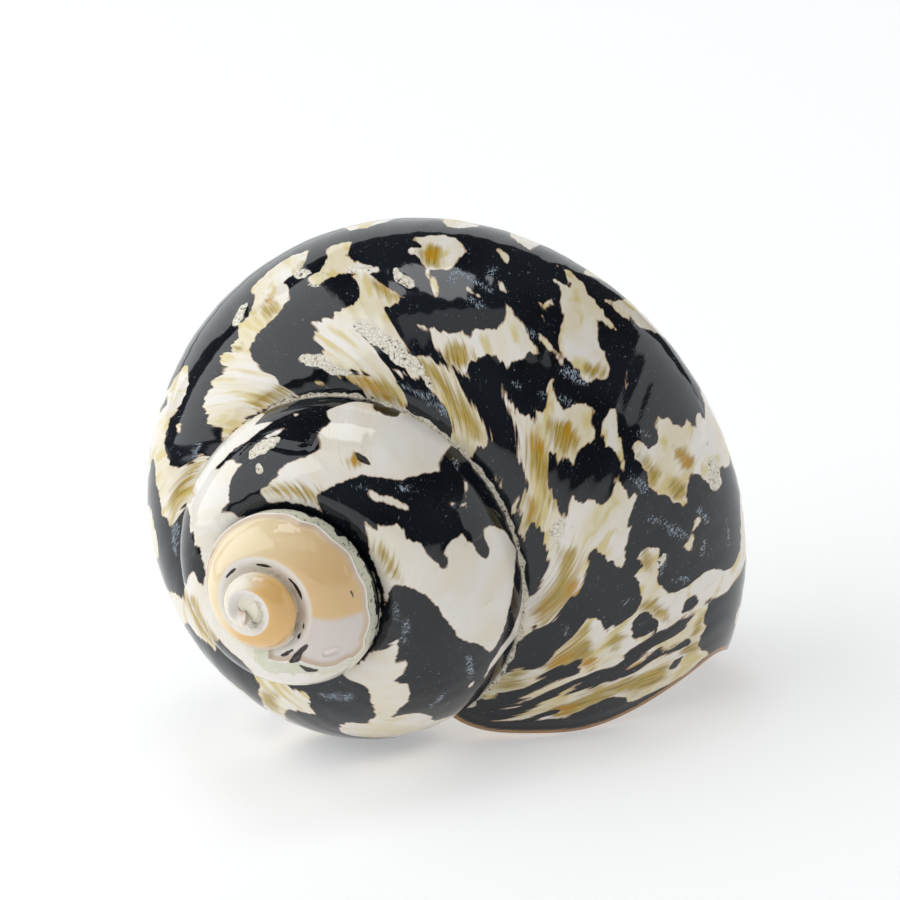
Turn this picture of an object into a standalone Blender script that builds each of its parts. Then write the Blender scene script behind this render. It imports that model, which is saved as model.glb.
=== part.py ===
"""Turban shell: one hollow snail shell, lying on its side with its mouth turned away.

The shell is a tube whose oval cross-section grows as it winds round an axis. Each turn rests on
the one before, so the seam between them is a spiral, and the mouth opens into the last turn.
"""
import math

import bmesh
import bpy
import numpy as np
from mathutils import Matrix, Vector

MM = 0.001
TURN = 2.0 * math.pi

# Growth. The winding angle is 0 where the seam ends at the mouth and negative towards the tip.
WHORL_RADIUS = 31.9 * MM      # axis to the centre of the tube where the seam ends
GROWTH = 0.0776               # growth per radian at the mouth
GROWTH_EASE = -0.00146        # slower growth at the mouth than at the tip, per radian squared
SPIRE_HEIGHT = 1.66           # tip to the centre of the tube, in whorl radii
SPIRE_EASE = 0.0127           # the spire is flatter at its tip, per radian
SPIRE_BEND = -0.000225        # and per radian squared

# Cross-section of the tube, in whorl radii, as four quarter ovals turned in their plane.
REACH_OUT = 0.40
REACH_IN = 1.0
REACH_UP = 0.64
REACH_DOWN = 0.645
EARLY_REACH = 0.008           # the older turns reach up a little more, per turn, to meet
SECTION_TURN = math.radians(28.7)

# Mouth. Each pair is an angle round the cross-section and the winding angle of the lip there.
LIP = (
    (-180, -16), (-150, -17), (-120, -12), (-95, -10), (-75, -18.5), (-60, -26), (-45, -33),
    (-20, -37.5), (5, -34), (30, -28), (55, -20.5), (80, -12.5), (103, 1), (125, 8), (150, -2),
)
LIP_LEAD = math.radians(150)  # how far back the rows of the tube start to lean to the lip
DROOP = 0.12                  # the last stretch sinks away from the tip, in whorl radii
DROOP_LENGTH = math.radians(80)
DROOP_MOST = 1.2              # the share of that length past which it sinks no faster
DROOP_SIDE = math.radians(-35)

# Hollow. The walls are in tube sizes.
WALL = 0.085                  # last turn
EARLY_WALL = 0.050            # two turns back
PILLAR_WALL = 0.060           # added on the side of the axis
LIP_WALL = 0.050
LIP_THINNING = math.radians(35)
ROOF_DENT = 0.16              # the hollow stays clear of the turn before it
ROOF_DENT_ANGLE = math.radians(120)
ROOF_DENT_WIDTH = math.radians(22)
HOLLOW_START = math.radians(-810)
HOLLOW_PAST_LIP = math.radians(14)
RIM_INSIDE = 0.9              # the flat rim of the mouth runs on into the hollow by this share

# Core of the spire and floor of the navel: radius and height in whorl radii, turned about the axis.
CORE = (
    (0.0, -0.020), (0.060, -0.055), (0.46, -0.90), (0.42, -1.15), (0.25, -1.25), (0.0, -1.27),
)

# Rest pose
AXIS_HEADING = math.radians(-121.0)
AXIS_LIFT = math.radians(1.5)
SPIN = math.radians(22.5)

# Fineness
ROW_STRETCHES = ((-1440, -1080, 20), (-1080, -600, 15), (-600, 0, 12))  # from, to and step, degrees
HOLLOW_ROWS = 48
SECTION_POINTS = 28
CORE_STEPS = 32
SHARP_EDGE = math.radians(40)


def growth(angle):
    """Size of the tube at a winding angle, 1 where the seam ends."""
    return np.exp(GROWTH * angle + GROWTH_EASE * angle ** 2)


def tube_centre(angle):
    """Distance from the axis and height along it of the tube's centre, in whorl radii."""
    size = growth(angle)
    return size, -SPIRE_HEIGHT * size * (1.0 + SPIRE_EASE * angle + SPIRE_BEND * angle ** 2)


def section_reach(around, angle):
    """Distance from the tube's centre to its skin, in the direction given by around."""
    along = np.cos(around - SECTION_TURN)
    across = np.sin(around - SECTION_TURN)
    reach_up = REACH_UP + EARLY_REACH * np.maximum(0.0, -angle / TURN - 1.0)
    half_width = np.where(along > 0.0, REACH_OUT, REACH_IN)
    half_height = np.where(across > 0.0, reach_up, REACH_DOWN)
    return 1.0 / np.hypot(along / half_width, across / half_height)


def lip_angle(around):
    """Winding angle of the lip, a smooth closed curve through the pairs in LIP."""
    knots = np.radians([pair[0] for pair in LIP])
    values = np.radians([pair[1] for pair in LIP])
    knots = np.concatenate([knots[-2:] - TURN, knots, knots[:3] + TURN])
    values = np.concatenate([values[-2:], values, values[:3]])
    place = np.clip(np.searchsorted(knots, around, side="right") - 1, 1, len(knots) - 3)
    span = knots[place + 1] - knots[place]
    t = (around - knots[place]) / span
    slope_0 = (values[place + 1] - values[place - 1]) / (knots[place + 1] - knots[place - 1]) * span
    slope_1 = (values[place + 2] - values[place]) / (knots[place + 2] - knots[place]) * span
    rise = values[place + 1] - values[place]
    return values[place] + t * slope_0 + t * t * (3 * rise - 2 * slope_0 - slope_1) \
        + t ** 3 * (slope_0 + slope_1 - 2 * rise)


def tube_rows(angles, skin, share=1.0):
    """Rings of the tube. Their winding angles lean to the lip towards the mouth."""
    around = np.linspace(-math.pi, math.pi, SECTION_POINTS, endpoint=False)[None, :]
    lean = np.clip(1.0 + angles / LIP_LEAD, 0.0, None)[:, None] ** 2
    angle = angles[:, None] + lean * lip_angle(around)
    reach = skin(around, angle) * growth(angle) * share
    out, up = tube_centre(angle)
    sink = DROOP * np.clip(1.0 + angle / DROOP_LENGTH, 0.0, DROOP_MOST) ** 2
    out = out + reach * np.cos(around)
    up = up + reach * np.sin(around) - sink * 0.5 * (1.0 + np.cos(around - DROOP_SIDE))
    return np.stack([out * np.cos(angle), -out * np.sin(angle), up], axis=-1) * WHORL_RADIUS


def hollow_reach(around, angle):
    """Distance from the tube's centre to the wall of the hollow."""
    age = np.clip(-angle / (2.0 * TURN), 0.0, 1.0)
    wall = WALL + (EARLY_WALL - WALL) * age
    wall = wall + PILLAR_WALL * (0.5 - 0.5 * np.cos(around)) ** 2
    near_lip = np.clip(1.0 + (angle - lip_angle(around)) / LIP_THINNING, 0.0, 1.0)
    wall = wall + (LIP_WALL - wall) * near_lip ** 2
    away = (around - ROOF_DENT_ANGLE + math.pi) % TURN - math.pi
    dent = ROOF_DENT * np.exp(-(away / ROOF_DENT_WIDTH) ** 2)
    return (section_reach(around, angle) - wall) * (1.0 - dent)


def closed_tube(name, rows, collection):
    """One closed body from rings of points, with a fan of faces on each end."""
    count, points = rows.shape[:2]
    ends = np.stack([rows[0].mean(axis=0), rows[-1].mean(axis=0)])
    verts = np.concatenate([rows.reshape(-1, 3), ends])
    faces = []
    for i in range(count - 1):
        for j in range(points):
            k = (j + 1) % points
            faces.append((i * points + j, i * points + k, (i + 1) * points + k, (i + 1) * points + j))
    first_end = count * points
    last = (count - 1) * points
    for j in range(points):
        k = (j + 1) % points
        faces.append((first_end, k, j))
        faces.append((first_end + 1, last + j, last + k))
    mesh = bpy.data.meshes.new(name)
    mesh.from_pydata(verts.tolist(), [], faces)
    turn_outwards(mesh)
    made = bpy.data.objects.new(name, mesh)
    collection.objects.link(made)
    return made


def turn_outwards(mesh):
    """Turns the faces of a closed mesh outwards."""
    shape = bmesh.new()
    shape.from_mesh(mesh)
    bmesh.ops.recalc_face_normals(shape, faces=shape.faces)
    if shape.calc_volume(signed=True) < 0.0:
        bmesh.ops.reverse_faces(shape, faces=shape.faces)
    shape.to_mesh(mesh)
    shape.free()


def turned_core(collection):
    """Core of the spire, a profile turned about the axis."""
    profile = [(radius * WHORL_RADIUS, 0.0, height * WHORL_RADIUS) for radius, height in CORE]
    mesh = bpy.data.meshes.new("core")
    mesh.from_pydata(profile, [(i, i + 1) for i in range(len(profile) - 1)], [])
    core = bpy.data.objects.new("core", mesh)
    collection.objects.link(core)
    turn = core.modifiers.new("turn", "SCREW")
    turn.axis = "Z"
    turn.steps = CORE_STEPS
    turn.render_steps = CORE_STEPS
    turn.use_merge_vertices = True
    turn.merge_threshold = 0.00001
    turn.use_normal_calculate = True
    return core


def row_angles():
    """Winding angles of the rings, closer together where the shell is larger."""
    stretches = [np.arange(*stretch) for stretch in ROW_STRETCHES]
    return np.radians(np.concatenate(stretches + [[0.0]]))


def add_boolean(target, other, operation, use_self=False):
    """Exact Boolean of two bodies."""
    cut = target.modifiers.new(other.name, "BOOLEAN")
    cut.operation = operation
    cut.solver = "EXACT"
    cut.use_self = use_self
    cut.object = other


def shell_material():
    """Polished shell: near black with ivory flames, shown here by its dark ground."""
    material = bpy.data.materials.new("polished shell")
    material.use_nodes = True
    shader = material.node_tree.nodes["Principled BSDF"]
    shader.inputs["Base Color"].default_value = (0.045, 0.048, 0.055, 1.0)
    shader.inputs["Roughness"].default_value = 0.18
    shader.inputs["Metallic"].default_value = 0.0
    return material


def rest_matrix(shell):
    """Lays the shell on its side, with the bottom centre of its bounding box at the origin."""
    lying = (
        Matrix.Rotation(AXIS_HEADING, 4, "Z")
        @ Matrix.Rotation(math.pi / 2 - AXIS_LIFT, 4, "Y")
        @ Matrix.Rotation(SPIN, 4, "Z")
    )
    finished = shell.evaluated_get(bpy.context.evaluated_depsgraph_get()).to_mesh()
    places = np.array([lying @ vert.co for vert in finished.vertices])
    low = places.min(axis=0)
    high = places.max(axis=0)
    middle = (low + high) / 2
    return Matrix.Translation(-Vector((middle[0], middle[1], low[2]))) @ lying


def main():
    for old in list(bpy.data.objects):
        bpy.data.objects.remove(old, do_unlink=True)
    shell_parts = bpy.data.collections.new("turban_shell")
    cutters = bpy.data.collections.new("cutters")
    bpy.context.scene.collection.children.link(shell_parts)
    bpy.context.scene.collection.children.link(cutters)

    skin_rows = tube_rows(row_angles(), section_reach)
    rim_row = tube_rows(np.zeros(1), hollow_reach, RIM_INSIDE)
    shell = closed_tube("turban_shell", np.concatenate([skin_rows, rim_row]), shell_parts)
    core = turned_core(cutters)
    hollow_angles = np.linspace(HOLLOW_START, HOLLOW_PAST_LIP, HOLLOW_ROWS)
    hollow = closed_tube("hollow", tube_rows(hollow_angles, hollow_reach), cutters)
    for cutter in (core, hollow):
        cutter.hide_render = True
        cutter.display_type = "WIRE"
    add_boolean(shell, core, "UNION", use_self=True)
    add_boolean(shell, hollow, "DIFFERENCE")
    shell.data.materials.append(shell_material())
    shell.data.shade_smooth()
    shell.data.set_sharp_from_angle(angle=SHARP_EDGE)
    pose = rest_matrix(shell)
    for piece in (shell, core, hollow):
        piece.matrix_world = pose


main()
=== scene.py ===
"""Looks of a polished turban shell, black with ivory flames, lying on its side on a pale floor."""
import math

import bmesh
import bpy
import numpy as np
from mathutils import Matrix, Vector


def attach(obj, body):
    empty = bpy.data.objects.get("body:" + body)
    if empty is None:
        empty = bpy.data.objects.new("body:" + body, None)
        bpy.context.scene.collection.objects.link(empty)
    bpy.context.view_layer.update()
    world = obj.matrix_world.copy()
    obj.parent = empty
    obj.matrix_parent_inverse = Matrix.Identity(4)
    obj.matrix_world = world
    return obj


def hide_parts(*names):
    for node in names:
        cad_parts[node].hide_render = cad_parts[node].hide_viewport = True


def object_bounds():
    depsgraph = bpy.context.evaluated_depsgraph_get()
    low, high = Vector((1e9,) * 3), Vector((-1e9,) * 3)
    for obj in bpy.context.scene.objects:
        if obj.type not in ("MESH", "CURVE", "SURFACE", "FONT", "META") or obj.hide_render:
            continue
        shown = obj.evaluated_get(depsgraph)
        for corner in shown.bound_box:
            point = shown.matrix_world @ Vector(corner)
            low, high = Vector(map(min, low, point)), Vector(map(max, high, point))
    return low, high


bl_info = {
    "name": "Turban shell",
    "version": (1, 0, 0),
    "blender": (4, 5, 0),
    "location": "3D View > Sidebar > Turban shell",
    "description": "A polished turban shell, black with ivory flames, on a pale floor",
    "category": "Add Mesh",
}

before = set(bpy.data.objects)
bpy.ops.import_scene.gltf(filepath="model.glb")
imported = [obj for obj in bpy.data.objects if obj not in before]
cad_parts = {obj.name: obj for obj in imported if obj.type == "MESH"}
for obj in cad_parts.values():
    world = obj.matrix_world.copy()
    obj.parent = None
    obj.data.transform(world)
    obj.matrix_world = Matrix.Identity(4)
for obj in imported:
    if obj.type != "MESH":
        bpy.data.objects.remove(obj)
CAD_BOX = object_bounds()

MM = 0.001
TURN = 2.0 * math.pi
DEG = math.pi / 180.0

# The shell's growth, cross-section, mouth and pose are those of its solid.
WHORL_RADIUS = 31.9 * MM
GROWTH = 0.0776
GROWTH_EASE = -0.00146
SPIRE_HEIGHT = 1.66
SPIRE_EASE = 0.0127
SPIRE_BEND = -0.000225
REACH_OUT = 0.40
REACH_IN = 1.0
REACH_UP = 0.64
REACH_DOWN = 0.645
EARLY_REACH = 0.008
SECTION_TURN = 28.7 * DEG
LIP = (
    (-180, -16), (-150, -17), (-120, -12), (-95, -10), (-75, -18.5), (-60, -26), (-45, -33),
    (-20, -37.5), (5, -34), (30, -28), (55, -20.5), (80, -12.5), (103, 1), (125, 8), (150, -2),
)
LIP_LEAD = 150 * DEG
DROOP = 0.12
DROOP_LENGTH = 80 * DEG
DROOP_MOST = 1.2
DROOP_SIDE = -35 * DEG
WALL = 0.085
EARLY_WALL = 0.050
PILLAR_WALL = 0.060
LIP_WALL = 0.050
LIP_THINNING = 35 * DEG
ROOF_DENT = 0.16
ROOF_DENT_ANGLE = 120 * DEG
ROOF_DENT_WIDTH = 22 * DEG
HOLLOW_START = -810 * DEG
HOLLOW_PAST_LIP = 14 * DEG
RIM_INSIDE = 0.9
CORE = (
    (0.0, -0.020), (0.060, -0.055), (0.46, -0.90), (0.42, -1.15), (0.25, -1.25), (0.0, -1.27),
)
AXIS_HEADING = -121.0 * DEG
AXIS_LIFT = 1.5 * DEG
SPIN = 22.5 * DEG
TIP = Vector((-28.49, -30.00, 29.39)) * MM   # where the tip lies, on the floor's frame

# Fineness of the visible surface
STRETCHES = (
    (-1440, -1140, 5), (-1140, -860, 3), (-860, -600, 1.8), (-600, -350, 1.8), (-350, -150, 1.6),
    (-150, 0, 1.3),
)
SKIN_POINTS = 140
HOLLOW_STEP = 4.0
HOLLOW_POINTS = 66
CORE_POINTS = 64
MERGE_DISTANCE = 0.004 * MM
CORE_TURNS = (-1400 * DEG, 100 * DEG)  # the core is coloured as the tip is
SKIN, RIM, LINING = 0, 1, 2    # material slots


def growth(angle):
    """Size of the tube: e to the power of (GROWTH * angle + GROWTH_EASE * angle squared)."""
    return np.exp(GROWTH * angle + GROWTH_EASE * angle ** 2)


def tube_centre(angle):
    """The tube's centre line: its distance from the axis is the size, its height follows the spire."""
    size = growth(angle)
    return size, -SPIRE_HEIGHT * size * (1.0 + SPIRE_EASE * angle + SPIRE_BEND * angle ** 2)


def section_reach(around, angle):
    """Radius of the cross-section, four quarter ovals: 1 / length of (cos / width, sin / height)."""
    along = np.cos(around - SECTION_TURN)
    across = np.sin(around - SECTION_TURN)
    reach_up = REACH_UP + EARLY_REACH * np.maximum(0.0, -angle / TURN - 1.0)
    half_width = np.where(along > 0.0, REACH_OUT, REACH_IN)
    half_height = np.where(across > 0.0, reach_up, REACH_DOWN)
    return 1.0 / np.hypot(along / half_width, across / half_height)


def lip_angle(around):
    """Winding angle of the lip: a closed curve of cubics through the pairs in LIP."""
    around = (np.asarray(around) + math.pi) % TURN - math.pi
    knots = np.radians([pair[0] for pair in LIP])
    values = np.radians([pair[1] for pair in LIP])
    knots = np.concatenate([knots[-2:] - TURN, knots, knots[:3] + TURN])
    values = np.concatenate([values[-2:], values, values[:3]])
    place = np.clip(np.searchsorted(knots, around, side="right") - 1, 1, len(knots) - 3)
    span = knots[place + 1] - knots[place]
    t = (around - knots[place]) / span
    slope_0 = (values[place + 1] - values[place - 1]) / (knots[place + 1] - knots[place - 1]) * span
    slope_1 = (values[place + 2] - values[place]) / (knots[place + 2] - knots[place]) * span
    rise = values[place + 1] - values[place]
    return values[place] + t * slope_0 + t * t * (3 * rise - 2 * slope_0 - slope_1) \
        + t ** 3 * (slope_0 + slope_1 - 2 * rise)


def skin_reach(around, angle):
    """The outer skin: the cross-section, with the relief of the surface on it."""
    return section_reach(around, angle) + relief(around, angle)


def relief(around, angle):
    """Height of the surface's relief in tube sizes: growth wrinkles, a sum of sines of the growth angle."""
    line = angle - lip_angle(around)
    wrinkle = np.sin(line * 31.0 + 1.3 * np.sin(line * 7.0)) + 0.7 * np.sin(line * 83.0 + 2.0 * around)
    return 0.0011 * wrinkle - 0.004


def hollow_reach(around, angle):
    """The wall of the hollow: the cross-section less the wall, and less a dent that clears the turn before."""
    age = np.clip(-angle / (2.0 * TURN), 0.0, 1.0)
    wall = WALL + (EARLY_WALL - WALL) * age
    wall = wall + PILLAR_WALL * (0.5 - 0.5 * np.cos(around)) ** 2
    near_lip = np.clip(1.0 + (angle - lip_angle(around)) / LIP_THINNING, 0.0, 1.0)
    wall = wall + (LIP_WALL - wall) * near_lip ** 2
    away = (around - ROOF_DENT_ANGLE + math.pi) % TURN - math.pi
    dent = ROOF_DENT * np.exp(-(away / ROOF_DENT_WIDTH) ** 2)
    return (section_reach(around, angle) - wall) * (1.0 - dent)


def tube_rows(angles, points, reach_of, share=1.0):
    """Grid of the tube: at (angle, around) the point is the centre line plus reach * (cos, sin) of around.

    The rows lean to the lip towards the mouth, and the last stretch sinks by DROOP. Returns the
    places and, for each, its winding angle and its angle round the cross-section.
    """
    around = np.linspace(-math.pi, math.pi, points + 1)[None, :]
    lean = np.clip(1.0 + angles / LIP_LEAD, 0.0, None)[:, None] ** 2
    angle = angles[:, None] + lean * lip_angle(around)
    reach = reach_of(around, angle) * growth(angle) * np.reshape(share, (-1, 1))
    out, up = tube_centre(angle)
    sink = DROOP * np.clip(1.0 + angle / DROOP_LENGTH, 0.0, DROOP_MOST) ** 2
    out = out + reach * np.cos(around)
    up = up + reach * np.sin(around) - sink * 0.5 * (1.0 + np.cos(around - DROOP_SIDE))
    places = np.stack([out * np.cos(angle), -out * np.sin(angle), up], axis=-1) * WHORL_RADIUS
    return places, angle, np.broadcast_to(around, angle.shape)


def rest_matrix():
    """From the shell's own axis to the pose in which it lies."""
    return (
        Matrix.Translation(TIP)
        @ Matrix.Rotation(AXIS_HEADING, 4, "Z")
        @ Matrix.Rotation(math.pi / 2 - AXIS_LIFT, 4, "Y")
        @ Matrix.Rotation(SPIN, 4, "Z")
    )


def placed(places):
    """Points on the shell's own axis, moved to where the shell lies."""
    pose = np.array(rest_matrix())
    return places @ pose[:3, :3].T + pose[:3, 3]


def closed_tube(name, grid, rim_rows=0, slot=SKIN):
    """Closed body from a grid whose last column repeats the first, with a fan of faces on each end.

    Its UV map holds the winding angle in turns and the angle round the cross-section in turns.
    """
    places, angle, around = grid
    count, points = places.shape[0], places.shape[1] - 1
    ends = np.stack([places[0, :-1].mean(axis=0), places[-1, :-1].mean(axis=0)])
    verts = placed(np.concatenate([places[:, :-1].reshape(-1, 3), ends]))
    i, j = np.meshgrid(np.arange(count - 1), np.arange(points), indexing="ij")
    i, j = i.ravel(), j.ravel()
    k = (j + 1) % points
    quads = np.stack([i * points + j, i * points + k, (i + 1) * points + k, (i + 1) * points + j], axis=1)
    turns = np.stack([angle, around], axis=-1) / TURN
    quad_uv = np.stack([turns[i, j], turns[i, j + 1], turns[i + 1, j + 1], turns[i + 1, j]], axis=1)
    j = np.arange(points)
    k = (j + 1) % points
    last = (count - 1) * points
    first_fan = np.stack([np.full(points, count * points), k, j], axis=1)
    last_fan = np.stack([np.full(points, count * points + 1), last + j, last + k], axis=1)
    first_uv = np.stack([turns[0, j], turns[0, j + 1], turns[0, j]], axis=1)
    last_uv = np.stack([turns[-1, j], turns[-1, j], turns[-1, j + 1]], axis=1)
    faces = quads.tolist() + first_fan.tolist() + last_fan.tolist()
    mesh = bpy.data.meshes.new(name)
    mesh.from_pydata(verts.tolist(), [], faces)
    uv = np.concatenate([quad_uv.reshape(-1, 2), first_uv.reshape(-1, 2), last_uv.reshape(-1, 2)])
    mesh.uv_layers.new(name="turns").data.foreach_set("uv", uv.ravel().astype(np.float32))
    slots = np.full(len(faces), slot, dtype=np.int32)
    slots[(count - 1 - rim_rows) * points:len(quads)] = RIM if rim_rows else slot
    mesh.polygons.foreach_set("material_index", slots)
    signed = np.einsum("ij,ij->i", verts[quads[:, 0]], np.cross(verts[quads[:, 1]], verts[quads[:, 2]]))
    signed = signed + np.einsum("ij,ij->i", verts[quads[:, 0]], np.cross(verts[quads[:, 2]], verts[quads[:, 3]]))
    if signed.sum() < 0.0:
        mesh.flip_normals()
    made = bpy.data.objects.new(name, mesh)
    bpy.context.scene.collection.objects.link(made)
    return made


def turned_core():
    """Closed body of the profile CORE turned about the axis: (radius * cos, radius * sin, height)."""
    turn = np.linspace(0.0, TURN, CORE_POINTS + 1)
    radius, height = (np.array(CORE).T)[:, :, None]
    places = np.stack([radius * np.cos(turn), radius * np.sin(turn), height + 0.0 * turn], axis=-1) * WHORL_RADIUS
    angle = np.full(places.shape[:2], CORE_TURNS[0])
    around = np.full(places.shape[:2], CORE_TURNS[1])
    return closed_tube("core", (places[1:-1], angle[1:-1], around[1:-1]))


def skin_pieces():
    """The outer skin as closed tubes that each run less than one turn and overlap end to end."""
    pieces = []
    for start, stop, step in STRETCHES:
        angles = np.linspace(start, stop, round((stop - start) / step) + 1) * DEG
        share = np.ones(len(angles))
        if pieces:
            angles = np.concatenate([[angles[0] - 2.0 * DEG], angles])
            share = np.concatenate([[0.97], share])
        grid = tube_rows(angles, SKIN_POINTS, skin_reach, share)
        if stop == 0:
            rim = tube_rows(np.zeros(1), SKIN_POINTS, hollow_reach, RIM_INSIDE)
            grid = [np.concatenate([a, b]) for a, b in zip(grid, rim)]
            pieces.append(closed_tube("turn_%d" % len(pieces), grid, rim_rows=1))
        else:
            pieces.append(closed_tube("turn_%d" % len(pieces), grid))
    return pieces


def united_mesh(name, pieces, hollow):
    """All pieces united and the hollow taken out, as one mesh."""
    target = pieces[-1]
    for piece in pieces[:-1]:
        add_boolean(target, piece, "UNION")
    add_boolean(target, hollow, "DIFFERENCE")
    depsgraph = bpy.context.evaluated_depsgraph_get()
    mesh = bpy.data.meshes.new_from_object(target.evaluated_get(depsgraph))
    mesh.name = name
    shape = bmesh.new()
    shape.from_mesh(mesh)
    bmesh.ops.remove_doubles(shape, verts=shape.verts, dist=MERGE_DISTANCE)
    shape.to_mesh(mesh)
    shape.free()
    for piece in pieces + [hollow]:
        bpy.data.objects.remove(piece, do_unlink=True)
    return mesh


def add_boolean(target, other, operation):
    """Boolean of two bodies that are each closed and clear of themselves."""
    cut = target.modifiers.new(other.name, "BOOLEAN")
    cut.operation = operation
    cut.solver = "MANIFOLD"
    cut.object = other


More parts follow.
